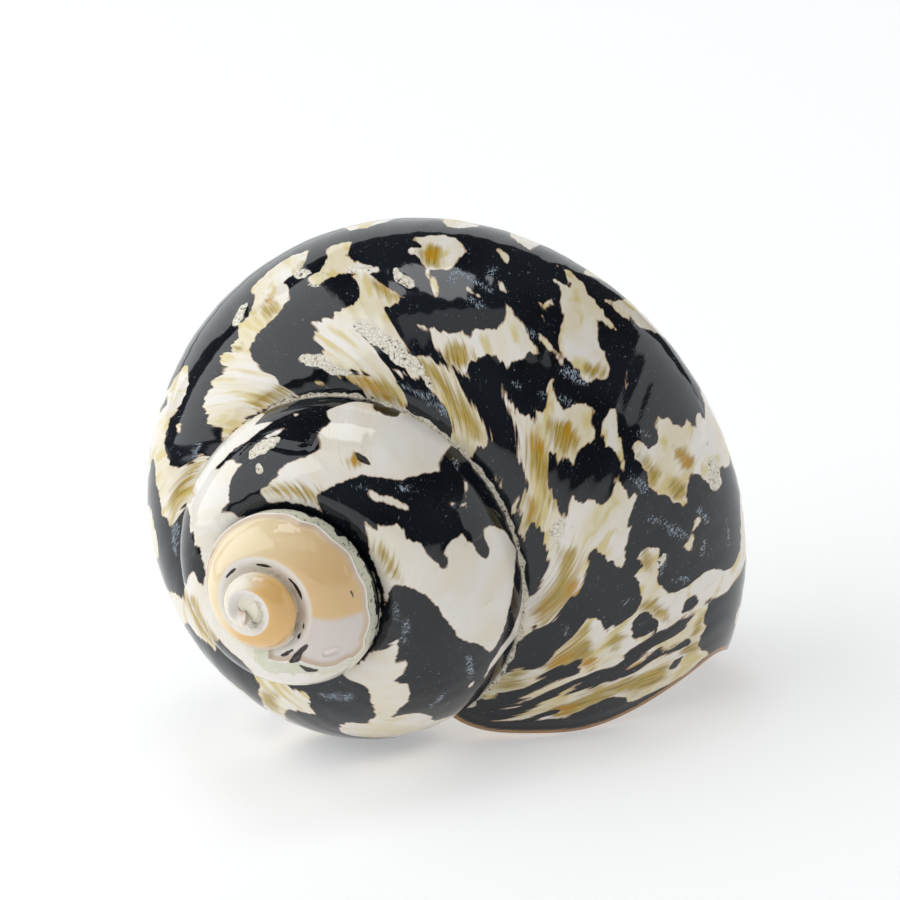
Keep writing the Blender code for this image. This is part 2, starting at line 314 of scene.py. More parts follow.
# Flames, as closed outlines of (winding angle, angle round the cross-section) in degrees, from the
# mouth back to the tip. Each was drawn, and has only the points that its shape needs.
IVORY = (
    ((-110, 71.5), (-106, 76), (-102.5, 77), (-101.5, 73.5), (-98, 75), (-92, 76.5), (-88, 81), (-85, 84.5),
     (-81.5, 85.5), (-78, 84.5), (-74, 84), (-70, 80), (-66, 77), (-62, 79.5), (-58, 82), (-55.5, 84),
     (-53.5, 88), (-50, 90.5), (-46, 93), (-43.5, 97), (-44, 100), (-41, 102), (-35, 104), (-34, 107),
     (-50, 107), (-53, 101.5), (-57, 98.5), (-61, 96), (-66, 94.8), (-72, 94.5), (-75, 97.5), (-71, 101.5),
     (-66, 104.5), (-72, 104.5), (-77, 102), (-81, 99.5), (-84.7, 95), (-85, 93), (-89, 91.5), (-93, 90.3),
     (-96, 87), (-100, 82.5), (-104, 79.5), (-107, 77.5)),
    ((-101, 69.5), (-99, 72), (-97, 76), (-92, 77.5), (-90, 74.5), (-85.2, 79), (-87, 76), (-89.5, 72.5),
     (-83.5, 71.5), (-86.5, 68), (-88.5, 64), (-89, 56), (-89, 50.5), (-92, 47.5), (-93.7, 43), (-94, 39),
     (-96.5, 41), (-97, 48), (-97.8, 56), (-100.5, 56), (-103, 51), (-104.2, 45), (-104.8, 50), (-104, 56),
     (-101.5, 61), (-99.5, 66)),
    ((-130, 81), (-125, 80.5), (-120, 82), (-116, 85), (-112, 88), (-105, 91.5), (-101, 95), (-100, 98),
     (-101.5, 101), (-99, 107), (-108, 107), (-110, 101.5), (-115, 97.5), (-120, 95.5), (-126, 92.5),
     (-130, 88), (-132, 84)),
    ((-92, 101), (-87, 105), (-86, 103), (-90, 100.5)),
    ((-85.2, 101.2), (-78, 104), (-79, 102), (-83, 100.6)),
    ((-135, 67), (-131, 69.5), (-130, 72), (-127.5, 75), (-124, 79), (-120, 80.5), (-115, 81.5),
     (-118.5, 78.5), (-118.7, 72), (-118, 68), (-117, 62.5), (-113.7, 62), (-111.3, 64.8), (-112.5, 60),
     (-112.5, 57), (-111, 53), (-111.5, 48), (-110.3, 43), (-112, 39), (-115, 37), (-117, 34), (-119, 28),
     (-122, 24), (-124, 23), (-123, 26), (-120.5, 33), (-119.8, 40), (-119.8, 47), (-121.5, 52), (-124, 55),
     (-123.5, 58.5), (-122.5, 61), (-126, 60.5), (-127, 64), (-129.5, 65)),
    ((-114.3, 31), (-112, 34), (-110, 37), (-107, 37), (-104.5, 40), (-106, 34), (-109, 31), (-112, 29.5)),
    ((-115.8, 17), (-114.5, 22), (-112.5, 26.5), (-114, 21), (-115, 17)),
    ((-118.4, 10), (-117, 13), (-115.5, 12.5), (-116.3, 9.5), (-115.3, 5), (-116.6, 2), (-117, 7)),
    ((-110, 25), (-108.5, 30), (-105.5, 33), (-102.5, 31.5), (-98.5, 35), (-99, 26), (-98.3, 19),
     (-99.2, 12), (-102.5, 8), (-105, 3), (-107.5, -7), (-108.2, -9), (-105.5, -8.5), (-104.7, -13),
     (-106.5, -16), (-110, -18), (-113, -21), (-116, -25), (-120.5, -28), (-121.5, -27), (-119, -23.5),
     (-116.2, -18), (-116, -14), (-119.5, -13.5), (-117, -10.5), (-115.6, -4), (-114.8, 2), (-112.8, 9),
     (-111.8, 16)),
    ((-110.5, -24), (-103, -25), (-105, -30), (-101, -36), (-99, -46), (-108, -46), (-109, -32)),
    ((-126, -24), (-129, -28), (-132, -34), (-135, -46), (-127, -46), (-127, -35)),
    ((-95, 29), (-93, 32), (-91.5, 40), (-89, 46), (-87, 48), (-85.5, 44), (-80.5, 44), (-84, 39.5),
     (-87, 36), (-89.5, 33), (-92.5, 28.5)),
    ((-97.7, 2), (-96.5, 8), (-94.5, 13.5), (-93.7, 13.5), (-95, 8), (-96.7, 3)),
    ((-85.2, 30), (-82.5, 33.5), (-80, 32), (-78, 30), (-75.3, 31), (-74, 25), (-72.5, 19), (-70.3, 12),
     (-70.3, 8), (-74.5, 2), (-75.2, -4), (-73, -10), (-70.2, -16), (-70.2, -23), (-73, -26.5), (-77, -22.5),
     (-80, -28), (-84.5, -29.5), (-84, -24), (-82, -20.5), (-82.3, -17.5), (-85.2, -18), (-84, -12),
     (-84.2, -8), (-86.2, -3), (-87, 3), (-86, 8.5), (-83, 12), (-83.2, 22), (-85, 25)),
    ((-81, 76), (-78, 80.5), (-74, 84), (-66, 86), (-64, 79), (-66, 76.5), (-66, 73.5), (-63, 69),
     (-61.3, 64), (-61, 60.5), (-64, 58), (-67, 55), (-70, 52.5), (-72.5, 48), (-74.3, 43), (-75, 39.5),
     (-75.7, 43), (-75.3, 48), (-78, 50), (-80.3, 47), (-79.5, 51.5), (-77, 57), (-76, 62), (-76, 67),
     (-78.5, 70), (-77.5, 73), (-78.5, 75.5)),
    ((-64.3, 49), (-62.5, 52.5), (-62, 48.5), (-60.8, 46.5), (-59.7, 52), (-58.5, 53.5), (-56, 50.5),
     (-51.2, 52), (-50, 45), (-48.3, 38.5), (-46.3, 38), (-46.2, 32), (-47.5, 24), (-48, 14), (-49, 6),
     (-50.3, 0), (-50.7, -8), (-50.6, -16), (-51.5, -24), (-52.5, -34), (-55, -46), (-60, -46), (-57, -30),
     (-55, -24), (-55.2, -14), (-56.2, -6), (-56.6, 2), (-55.8, 9), (-54.8, 16), (-54, 24), (-54.6, 32),
     (-56.3, 38), (-58, 40), (-61, 38), (-63.5, 36.5), (-64.4, 42)),
    ((-67, -1), (-67, 4), (-65.5, 9), (-63.5, 14), (-63, 20), (-61.8, 17), (-61, 11), (-62.5, 8), (-65, 6),
     (-65.5, 0)),
    ((-51.5, 50), (-50, 55.5), (-48, 62), (-47.5, 68), (-46.2, 70), (-48.5, 72.5), (-49.5, 77),
     (-51.2, 78.5), (-48.5, 81.5), (-44, 84), (-41, 87.5), (-38, 90.5), (-33, 92.5), (-30.5, 95),
     (-29, 98.5), (-27.5, 102), (-23, 104.5), (-14, 107), (-10, 104), (-17, 100.5), (-21, 97.5), (-24, 94.5),
     (-28, 92.5), (-33, 88.5), (-36, 84), (-38.5, 78.5), (-35.3, 79.5), (-34.5, 75), (-36, 69), (-37, 62),
     (-38.5, 57), (-41, 55.5), (-43.5, 49), (-45.8, 40), (-47, 38), (-45.5, 46), (-44.5, 53), (-46, 55.5),
     (-48.8, 54.5), (-50.5, 51)),
    ((-50.3, 0), (-48.8, 8), (-47.5, 12), (-46, 17), (-44.8, 22), (-43.9, 30), (-43, 38), (-41, 43),
     (-39, 49), (-37, 53.5), (-38.5, 48), (-39, 44), (-40.5, 40), (-41.8, 33), (-42, 26), (-43, 20),
     (-44, 12), (-43, 6), (-46, 2)),
    ((-50.2, 1), (-49, 8), (-46.5, 9), (-43.5, 9), (-41.5, 8), (-41, 2), (-42.5, 1), (-44.5, -2), (-46, 0),
     (-48, -1), (-49.5, -2)),
    ((-42, 9), (-41.3, 20), (-40.2, 29), (-38.7, 38), (-37.3, 45), (-36, 50), (-34.5, 56), (-33, 63),
     (-31, 68), (-29.5, 73), (-27.5, 78), (-24.5, 84), (-21, 86), (-17, 88.5), (-12, 92.5), (-7, 97),
     (-9, 93), (-13, 88.5), (-16, 84.5), (-18, 81), (-19.5, 77), (-21, 72.5), (-23, 70), (-25.5, 66),
     (-28, 61), (-30, 57), (-30, 52), (-29.5, 45), (-29, 40), (-30, 35), (-31, 30), (-32, 25), (-33, 18),
     (-34, 10), (-35.5, 2), (-37, -5), (-38.5, -12), (-39.5, -8), (-40.5, -2), (-41.5, 2)),
    ((-35.5, 71), (-34, 77), (-32, 82), (-29, 86.5), (-24, 90.5), (-18, 94), (-12, 98.5), (-5, 103),
     (-10, 99), (-17, 92.5), (-24, 88), (-28.5, 84), (-31.5, 79.5), (-33.3, 74.5)),
    ((-32.5, 73.5), (-31, 77.5), (-28, 81.5), (-24.5, 83), (-27, 79), (-30, 75)),
    ((-163, 90), (-157, 95), (-151, 98.5), (-146, 97), (-141, 98), (-133, 95.5), (-127, 92), (-127, 89),
     (-131, 85.5), (-134, 80), (-137, 75), (-140, 70), (-142, 66), (-144, 62), (-142, 59.5), (-140.7, 55),
     (-140.7, 51), (-143, 48), (-147, 44), (-150, 38), (-153, 35), (-155, 38), (-152.5, 43), (-151, 50),
     (-150.5, 56), (-152, 62), (-153, 64), (-155, 65.5), (-155, 70), (-162, 71), (-159.5, 76), (-158.3, 80),
     (-160.5, 81), (-157.5, 86), (-156, 89.5), (-160, 89.5)),
    ((-150, 100.5), (-146, 102.5), (-142, 104), (-140, 108), (-126, 108), (-126, 104.5), (-129, 100),
     (-133, 97), (-137, 95.5), (-141, 97.5), (-146, 98.5)),
    ((-161.5, 101.5), (-157, 104), (-153, 105), (-156, 103)),
    ((-203, 108), (-198, 103), (-201, 97), (-200.5, 88), (-199, 84), (-197, 81.5), (-194.5, 82),
     (-194.5, 78.5), (-191, 80), (-187.5, 78.5), (-190, 76.5), (-190, 67), (-185.5, 69.5), (-186, 66),
     (-183.7, 64), (-183.5, 52), (-180.5, 50), (-180, 37), (-180, 30), (-182, 19), (-181, 12), (-178, 2),
     (-175, -3), (-169, -3), (-168.7, 8), (-168.5, 20), (-170.5, 25), (-172.3, 30), (-170.3, 38), (-170, 46),
     (-168.7, 52), (-170, 56), (-170.5, 60), (-174.5, 66), (-178, 69), (-179.2, 76), (-178.5, 84),
     (-176, 90), (-171, 95), (-171, 100), (-167, 105), (-163, 108)),
    ((-166, 33), (-165, 42), (-162, 45), (-160.3, 38), (-158, 35), (-153, 36.5), (-149, 33), (-150, 28.5),
     (-153, 27), (-155.5, 24), (-157, 19), (-158.8, 15), (-159, 8), (-159.5, -1), (-162, -3), (-164.3, 0),
     (-164, 8), (-163, 14), (-163, 22), (-163.5, 30)),
    ((-147.3, -7), (-147, -3), (-144.5, 3), (-146.5, 6), (-146.3, 10), (-143, 17), (-141, 24), (-139.5, 30),
     (-137, 38), (-134, 46), (-135.5, 36), (-138, 28), (-139.5, 24), (-138, 22), (-136, 20), (-135.5, 14),
     (-136, 5), (-135.8, -2), (-137.5, -9), (-140.5, -14), (-143, -16), (-143.8, -11), (-145, -8)),
    ((-132.5, 25), (-130, 31), (-126.5, 32), (-127.5, 30), (-130, 28)),
    ((-127.5, 10), (-126, 16), (-124, 19.5), (-123.2, 17), (-125.5, 13)),
    ((-131.5, -15), (-129.5, -8), (-128, -6.5), (-128.5, -12)),
    ((-213, 74), (-213.5, 80), (-211.5, 83), (-210.5, 78)),
    ((-242, 90), (-238, 97), (-231, 102), (-229, 107), (-210, 108), (-211, 101), (-216, 99), (-220, 93),
     (-222.5, 85), (-221.5, 78), (-220.5, 70), (-215, 66), (-214, 60), (-214, 50), (-218, 35), (-219, 15),
     (-222, 0), (-228, 0), (-229, 25), (-227.5, 50), (-228, 60), (-232, 70), (-234, 77), (-238.5, 80),
     (-240, 88)),
    ((-288, 89), (-285, 96), (-262, 99), (-262, 92), (-266.5, 86), (-264.5, 80), (-264, 70), (-265, 50),
     (-272, 45), (-274.5, 60), (-274.5, 75), (-280, 79), (-283, 85)),
    ((-331.5, 100), (-320, 102), (-320, 106), (-309, 103), (-305, 98), (-306, 94), (-309, 92), (-308, 84),
     (-310, 75), (-309, 62), (-311, 45), (-317, 45), (-318, 60), (-318, 70), (-320, 77), (-322, 80),
     (-329, 81), (-333.5, 84), (-331.5, 90), (-332.5, 96)),
    ((-380, 113), (-388, 106), (-398.5, 99.5), (-392, 97), (-385, 95.5), (-390, 90.3), (-386, 87),
     (-381, 86.8), (-376, 88), (-378.5, 80), (-375.5, 71.5), (-371.5, 66.5), (-365, 64.5), (-361, 61.5),
     (-365, 55), (-367.5, 49), (-368, 40), (-367.8, 22), (-366, 19), (-365, 10), (-366.5, 2), (-360, 2),
     (-352, 20), (-348, 40), (-346, 55), (-345, 68), (-351, 69), (-356, 73), (-358.8, 79), (-359.5, 87),
     (-362.5, 92), (-363.7, 96), (-361.5, 101.5), (-356, 106.5), (-352, 113)),
    ((-386.3, 8), (-385.5, 14), (-383, 13.5), (-382.5, 7.5), (-384.5, 6.5)),
    ((-384.5, -4), (-388, -2), (-394, -2.5), (-397, -8), (-401, -18), (-405, -27), (-411, -36), (-410, -46),
     (-398, -46), (-398, -32), (-397, -24), (-394, -14), (-390, -8), (-386, -5.5)),
    ((-446, 113), (-455, 105), (-463.5, 98.2), (-457.5, 97), (-456.5, 95), (-460, 91.5), (-456.5, 90.7),
     (-458, 88.5), (-455.2, 87), (-455, 81), (-453, 78), (-450.5, 78), (-447.5, 80), (-445, 77.5),
     (-444, 73), (-441, 70), (-437, 70.5), (-434.5, 67), (-431.5, 62), (-431.5, 58.5), (-433.5, 56),
     (-436.8, 55), (-438.7, 50), (-440, 42), (-440, 33), (-441, 25.5), (-438, 23.5), (-436.5, 18.5),
     (-432, 16), (-429.5, 10), (-430, 4), (-433, 1.5), (-438, 2), (-439.5, -3), (-439.3, -11), (-437.5, -19),
     (-436, -27), (-430, -34), (-427, -36), (-423, -27), (-417, -19), (-411, -14), (-404, -7.5),
     (-398.5, -2), (-397, 4), (-398.5, 14), (-400.5, 23), (-402, 32), (-402.8, 43), (-404, 52), (-408, 60),
     (-413, 70), (-417.5, 77), (-421.5, 83), (-424.5, 90), (-426.3, 98), (-425.5, 103), (-421, 107.5),
     (-411, 113)),
    ((-452, 20), (-450.5, 21), (-449, 15), (-448.5, 10), (-447.5, 5), (-449, 1), (-451.5, -5),
     (-452.5, -11), (-455, -17.5), (-456.5, -12), (-453.5, -9), (-450.5, -1), (-449.3, 4), (-450.5, 10)),
    ((-473.5, 75.5), (-472, 80.5), (-469.5, 82), (-466.5, 81), (-464.5, 77), (-461.5, 73), (-458.5, 71),
     (-457, 67), (-456.5, 63), (-458.5, 62), (-461, 63), (-463.5, 66.5), (-466.5, 69.5), (-468, 73),
     (-470.5, 74)),
    ((-522, 113), (-526, 104), (-528, 101), (-520, 96), (-518.5, 93), (-515.5, 90.5), (-516.5, 86),
     (-513, 81), (-509.5, 76), (-505, 71.5), (-501.5, 66), (-500, 60), (-502, 51), (-504.5, 42),
     (-504.3, 30), (-502.5, 20), (-502.5, 16), (-505.5, 9), (-507, 0), (-505, -10), (-503, -24),
     (-499, -31), (-494.5, -33), (-494.5, -26), (-492, -20), (-488.5, -19), (-486, -26), (-487, -36),
     (-484, -46), (-468, -46), (-466.5, -36), (-466, -26), (-465.3, -15), (-464, -4), (-461.5, 4),
     (-463, 12), (-464.5, 22), (-465.7, 32), (-466.7, 42), (-467.5, 48), (-471, 56), (-474.5, 63),
     (-479, 69), (-482, 78), (-485, 86), (-488, 93.5), (-491, 98), (-491.5, 103), (-488.5, 108),
     (-484, 113)),
    ((-526.5, 42), (-524, 44.5), (-521, 43), (-520, 40), (-519.5, 33), (-521, 32), (-524, 37)),
    ((-517.5, 13.5), (-516, 11), (-516, 6), (-517.5, 3), (-520, 2), (-518.5, 8)),
    ((-760, 118), (-760, -46), (-535, -46), (-536, -20), (-532, -15), (-535, 8), (-531, 10), (-526, 15),
     (-529, 25), (-534, 37), (-540, 40), (-553, 50), (-550, 56), (-545, 53), (-541, 58), (-540, 66),
     (-536, 69), (-541, 78), (-545, 88), (-548, 98), (-556, 100), (-549, 106), (-547, 113), (-540, 118)),
)
DARK = (
    ((-146.5, 79.5), (-142.5, 84), (-139, 89.5), (-135, 92), (-130, 92.5), (-133, 88.5), (-137, 86),
     (-140, 83), (-143, 80)),
    ((-76.8, 53), (-75.5, 56), (-74.5, 57), (-75.5, 53)),
    ((-52.5, 8), (-52.3, 16), (-51, 19.5), (-49.2, 20), (-49.5, 14), (-50.3, 7.5)),
    ((-39.5, 12), (-39, 18), (-37.5, 21), (-36.8, 17), (-38, 13)),
    ((-35.3, 37), (-34.7, 42), (-34.2, 43), (-34.4, 38)),
    ((-24, 76), (-21, 82), (-16, 86), (-18.5, 82), (-21, 77)),
    ((-675, 30), (-674, 70), (-669, 84), (-648, 88), (-646, 70), (-650, 58), (-655, 30)),
    ((-613, 30), (-612, 68), (-606, 80), (-601, 92), (-610, 104), (-600, 106), (-592, 104), (-584, 97),
     (-586, 90), (-580, 83), (-583, 78), (-577, 65), (-577, 45), (-580, 20), (-590, 0), (-600, 0)),
)
OLIVE = (
    ((-132, 84), (-125, 83), (-118, 88), (-110, 92), (-102, 96), (-104, 101), (-112, 98), (-120, 92),
     (-127, 88)),
    ((-125, 78), (-120, 79), (-119, 70), (-122, 66), (-126, 68)),
    ((-103, 26), (-100, 30), (-99, 20), (-101, 14)),
    ((-98, 74), (-94, 78), (-88, 80), (-84, 84), (-76, 85), (-80, 89), (-90, 88), (-96, 82)),
    ((-97, 70), (-92, 74), (-88, 70), (-90, 60), (-94, 58), (-97, 64)),
    ((-84, 95), (-80, 98), (-74, 100), (-70, 98), (-76, 95), (-80, 92)),
    ((-66, 82), (-60, 86), (-54, 86), (-50, 92), (-45, 98), (-47, 103), (-54, 98), (-60, 92), (-68, 90)),
    ((-64, 45), (-61, 50), (-60, 45), (-62, 42)),
    ((-53, 50), (-51, 51), (-49, 40), (-48, 30), (-51, 34), (-53, 42)),
    ((-48, 80), (-43, 84), (-38, 90), (-32, 92), (-34, 86), (-38, 78), (-37, 72), (-40, 74), (-44, 78)),
    ((-46, 66), (-42, 68), (-41, 62), (-45, 59)),
    ((-29, 98), (-26, 102), (-18, 104), (-20, 100), (-25, 97)),
    ((-38, 22), (-36.5, 40), (-34.5, 52), (-31, 66), (-27, 74), (-22, 80), (-20, 76), (-24, 68), (-28, 60),
     (-31, 52), (-31, 42), (-33, 30), (-35, 20)),
    ((-42, 2), (-41, 16), (-39.6, 10), (-40, -2)),
    ((-48, 2), (-46, 8), (-43, 6), (-45, 1)),
    ((-82, 31), (-79, 31), (-76, 28), (-78, 20), (-81, 24)),
    ((-81, 3), (-79, 4.5), (-76.5, 1), (-75.5, -5), (-77, -7.5), (-79.5, -5)),
    ((-73, 18), (-71, 12), (-72, 6), (-75, 8), (-76, 14)),
    ((-149, 101), (-142, 104), (-136, 107), (-128, 106), (-130, 101), (-136, 98), (-142, 99)),
    ((-150, 40), (-148, 50), (-143, 58), (-141, 54), (-142, 49), (-147, 43)),
    ((-144, 0), (-144, 10), (-141, 20), (-138.5, 20), (-139.5, 8), (-140.5, 0), (-142, -2)),
    ((-176, 44), (-178, 54), (-174, 62), (-171, 58), (-173, 48)),
    ((-170, 12), (-171, 20), (-169, 19), (-168.8, 12)),
    ((-183, 100), (-182, 107), (-168, 107), (-170, 101)),
    ((-186, 70), (-184, 74), (-181.5, 73), (-182, 70)),
    ((-240, 90), (-236, 95), (-228, 100), (-214, 106), (-213, 101), (-222, 96), (-230, 90)),
    ((-286, 90), (-284, 97), (-263, 98), (-266, 88), (-278, 87)),
    ((-316, 90), (-310, 90), (-310, 70), (-312, 60), (-317, 60)),
    ((-447, 106), (-434, 104), (-428, 98), (-440, 97), (-450, 100)),
    ((-486.5, 41), (-487, 52), (-487.5, 63), (-485, 66), (-482.5, 64), (-482, 56), (-484, 50), (-485.5, 43)),
    ((-525, 103), (-515, 106), (-490, 108), (-492, 100), (-505, 98), (-520, 99)),
    ((-648, 55), (-648, 86), (-618, 86), (-616, 55)),
    ((-575, 10), (-575, 45), (-569, 45), (-569, 10)),
)
OCHRE = (
    ((-96, 79), (-93, 82), (-91, 79), (-94, 77)),
    ((-95, 62), (-92, 66), (-91, 62), (-94, 59)),
    ((-82, 94), (-79, 97), (-76, 97), (-79, 94)),
    ((-58, 84), (-55, 85), (-54, 88), (-57, 88)),
    ((-52, 94), (-46, 98), (-45, 102), (-51, 98)),
    ((-38.5, 72), (-38.5, 77), (-36, 77), (-36, 73)),
    ((-39, 84), (-36, 90), (-33, 90), (-36, 85)),
    ((-26, 71), (-23, 78), (-21, 77), (-23.5, 71)),
    ((-39.2, 40), (-38.6, 48), (-36.5, 52), (-36.4, 46), (-37.8, 40)),
    ((-80.5, 2), (-79, 4), (-76.8, 0), (-76, -5), (-78.5, -5)),
    ((-147, 101.5), (-140, 104), (-133, 105), (-136, 102), (-142, 100.5)),
    ((-148, 43), (-145, 49), (-142, 51), (-145, 46)),
    ((-143.2, 3), (-142.8, 12), (-140.5, 12), (-141.2, 3)),
    ((-176.5, 42), (-176.5, 48), (-174, 48), (-175, 42)),
    ((-486, 50), (-486.5, 60), (-483.5, 62), (-483.5, 54)),
)
# Where the older turns are worn down to the orange layer under the skin.
WORN = (
    ((-1440, -110), (-1110, -110), (-1095, -40), (-1040, -25), (-960, -15), (-925, -8), (-900, -7), (-885, -13), (-870, -9), (-860, -12),
     (-849, -3), (-840, -12), (-826, -5), (-813, -13), (-800, -4), (-790, -9), (-778, -3), (-768, -9),
     (-757, -1), (-750, -9), (-742, 6), (-741, 22), (-735, 35), (-730, 55), (-727, 75), (-722, 93),
     (-712, 97), (-700, 100), (-692, 103), (-692, 178), (-1440, 178)),
)
# Scars, as strokes of (winding angle, angle round the section, half width in mm): worm tubes and barnacles.
SCARS = (
    ((-150, 74, 0.4), (-145, 78, 0.9), (-140, 81, 1.1), (-134, 86, 1.0), (-128, 88, 0.6), (-123, 93, 0.3)),
    ((-163, 91, 0.4), (-158, 93, 0.9), (-151, 98, 0.5), (-143, 98, 0.2)),
    ((-75, 86, 0.4), (-72, 89, 0.9), (-68, 90, 0.3)),
    ((-165.5, 34, 0.3), (-165, 42, 0.3), (-162, 44, 0.3), (-160.8, 38, 0.3), (-162, 32, 0.3), (-165, 33, 0.3)),
    ((-156, 32, 0.5), (-151, 31, 0.6)),
    ((-169, 26, 0.8), (-167, 29, 0.8)),
    ((-184, 46, 1.0), (-183, 37, 0.8)),
    ((-146, 29, 0.4), (-144.5, 36, 0.7), (-141, 40, 0.8)),
    ((-530, 62, 1.0), (-524, 55, 1.1), (-521, 51, 0.7)),
    ((-526, 84, 0.5), (-527, 78, 0.4)),
    ((-75, -22, 0.9), (-72, -18, 1.3)),
    ((-60, 38, 0.5), (-62, 33, 0.5)),
)
# The groove that a worm tube left on the turn before the last.
GROOVES = (
    ((-521, 58, 0.35), (-516, 62, 0.5), (-510, 65, 0.5), (-505.5, 62, 0.5), (-504.5, 55, 0.4), (-505, 45, 0.3)),
    ((-535, 68, 0.5), (-530, 60, 0.6), (-525, 52, 0.5)),
)
# Scuffed places, where fine bluish scratches cross the black.
SCUFFS = (
    ((-104, 39, 0.8), (-101, 33, 1.2)),
    ((-103, 62, 0.4), (-102, 60, 0.4)),
    ((-100, 53, 0.5), (-98, 51, 0.5)),
    ((-109, 68, 0.4), (-107.5, 67, 0.5)),
    ((-128, 36, 0.6), (-125.5, 37, 0.6)),
    ((-134, 28, 0.7), (-134.5, 18, 0.7), (-126, 22, 0.4)),
    ((-129, 8, 0.6), (-129, 3, 0.6)),
    ((-122, 96, 0.6), (-112, 99, 0.6), (-132, 97, 0.4)),
    ((-86, 22, 0.5), (-85.5, 17, 0.5)),
    ((-79, 40, 0.5), (-76, 35, 0.9)),
    ((-70, 38, 0.5), (-69, 33, 0.6)),
    ((-68, 28, 0.5), (-66, 22, 0.9), (-64.5, 13, 0.5)),
    ((-61, 33, 0.6), (-58.5, 37, 0.5)),
    ((-56.5, 28, 0.4), (-56, 16, 0.6)),
    ((-68, 0, 0.7), (-66, -5, 0.7)),
    ((-62, 0, 0.6), (-60, 3, 0.5)),
    ((-53, 62, 0.4), (-53.5, 58, 0.4)),
    ((-64, -22, 0.4), (-59, -20, 0.4)),
    ((-46, 89, 0.5), (-43.5, 87, 0.4)),
    ((-116, 36, 0.7), (-113.5, 34, 0.5)),
    ((-415, 104, 0.5), (-408, 104, 0.4)),
    ((-408, 96, 0.6), (-400, 97, 0.4), (-397, 95, 0.4)),
    ((-396, 32, 0.5), (-392, 26, 0.8), (-388, 17, 0.5)),
    ((-379, 38, 0.5), (-372, 41, 0.4)),
    ((-466, 55, 0.6), (-464, 50, 0.6), (-462.5, 43, 0.4)),
    ((-353, 96, 0.7), (-345, 98, 0.6), (-338, 100, 0.5)),
    ((-478, 81, 0.2), (-473, 75, 0.3)),
    ((-460, -18, 0.5), (-462, -22, 0.5)),
    ((-240, 95, 0.8), (-250, 93, 0.5)),
    ((-213, 98, 0.7), (-209, 97, 0.5)),
)
# Black dashes in the worn white layer.
DASHES = (
    ((-870, 122, 0.15), (-857, 123, 0.35), (-849, 122, 0.1)),
    ((-817, 123, 0.3), (-806, 122, 0.45), (-795, 123, 0.4), (-789, 124, 0.2)),
    ((-925, 114, 0.1), (-912, 115, 0.2), (-906, 115, 0.1)),
    ((-752, 120, 0.25), (-749, 119, 0.2)),
    ((-740, 118, 0.15), (-735, 117, 0.2)),
    ((-738, 100, 0.15), (-730, 101, 0.35), (-721, 98, 0.45), (-714, 96, 0.15)),
    ((-720, 108, 0.15), (-712, 107, 0.25), (-706, 106, 0.1)),
    ((-719, 85, 0.15), (-721, 72, 0.45), (-724, 61, 0.25)),
    ((-790, 24, 0.1), (-786, 23, 0.1)),
    ((-488, 49, 0.1), (-484, 53, 0.45), (-480, 55, 0.2)),
)
# Growth lines, along which the flames are streaked: angle round the section and how far they run on.
STREAK_LINE = (
    (-180, -14), (-100, -12), (-40, -6), (10, 0), (40, 4), (63, 9.5), (78, 16), (88, 24), (97, 33), (108, 42),
)
# Where flames reach the side that the photograph doesn't show, they run on from here to the navel.
BASE_STARTS = (-178, -161, -143, -130, -117, -104, -77, -56, -43, -26)
BACK_STARTS = (-345, -314, -292, -268, -248, -225, -209)
BASE_EDGE = -44.0        # angle round the section where the seen side ends, in degrees
BACK_EDGE = 50.0
NAVEL_EDGE = -172.0
FIELD_RANGE = 4.0        # mm of distance that a stored field holds either way
SEAM_RANGE = 8.0         # mm from the seam that are stored
END_RANGE = 8.0          # mm from the lip that are stored
TIP_CAP = 2.0            # mm round the tip that are worn whatever the outline says
HIDDEN_SEED = 7
BOX_INSET = 0.01 * MM    # the raised skin stays this far inside the box of the CAD body
PIT = ((-745, 54, 0.3), (-741, 68, 0.4))


def corner_turns(mesh):
    """Winding angle and angle round the cross-section, in radians, of every face corner."""
    turns = np.empty(len(mesh.loops) * 2, dtype=np.float32)
    mesh.uv_layers["turns"].data.foreach_get("uv", turns)
    turns = turns.reshape(-1, 2).astype(float) * TURN
    return turns[:, 0], turns[:, 1]


def corner_verts(mesh):
    """Vertex of every face corner."""
    verts = np.empty(len(mesh.loops), dtype=np.int32)
    mesh.loops.foreach_get("vertex_index", verts)
    return verts


def flow_coordinates(angle, around):
    """Metres along the spiral, counted at the growth line, and metres round the cross-section."""
    table = np.linspace(-1600.0, 120.0, 1721) * DEG
    travelled = np.cumsum(growth(table)) * DEG * (1.0 + REACH_OUT) * WHORL_RADIUS
    knots, run = np.radians(np.array(STREAK_LINE)).T
    along = np.interp(angle - np.interp(around, knots, run), table, travelled)
    return along, around * growth(angle) * (1.0 + REACH_UP) / 2 * WHORL_RADIUS


def local_scale(angle, around):
    """Mm of skin for each radian of the winding angle, and for each radian round the cross-section."""
    size = growth(angle)
    reach = section_reach(around, angle) * size
    return (size + reach * np.cos(around)) * WHORL_RADIUS / MM, reach * WHORL_RADIUS / MM


def away_from_line(start, stop, angle, around, scale):
    """Distance in mm to the straight run from start to stop, and the share of the run at the nearest point."""
    to_x = (angle - start[0]) * scale[0]
    to_y = (around - start[1]) * scale[1]
    run_x = (stop[0] - start[0]) * scale[0]
    run_y = (stop[1] - start[1]) * scale[1]
    share = np.clip((to_x * run_x + to_y * run_y) / (run_x ** 2 + run_y ** 2 + 1e-9), 0.0, 1.0)
    return np.hypot(to_x - share * run_x, to_y - share * run_y), share


def near_to(points, angle, around, scale):
    """Which places lie within FIELD_RANGE of the box round the points."""
    low, high = points.min(axis=0), points.max(axis=0)
    along, across = FIELD_RANGE / np.maximum(scale, 0.5)
    near = (angle > low[0] - along) & (angle < high[0] + along)
    return near & (around > low[1] - across) & (around < high[1] + across)


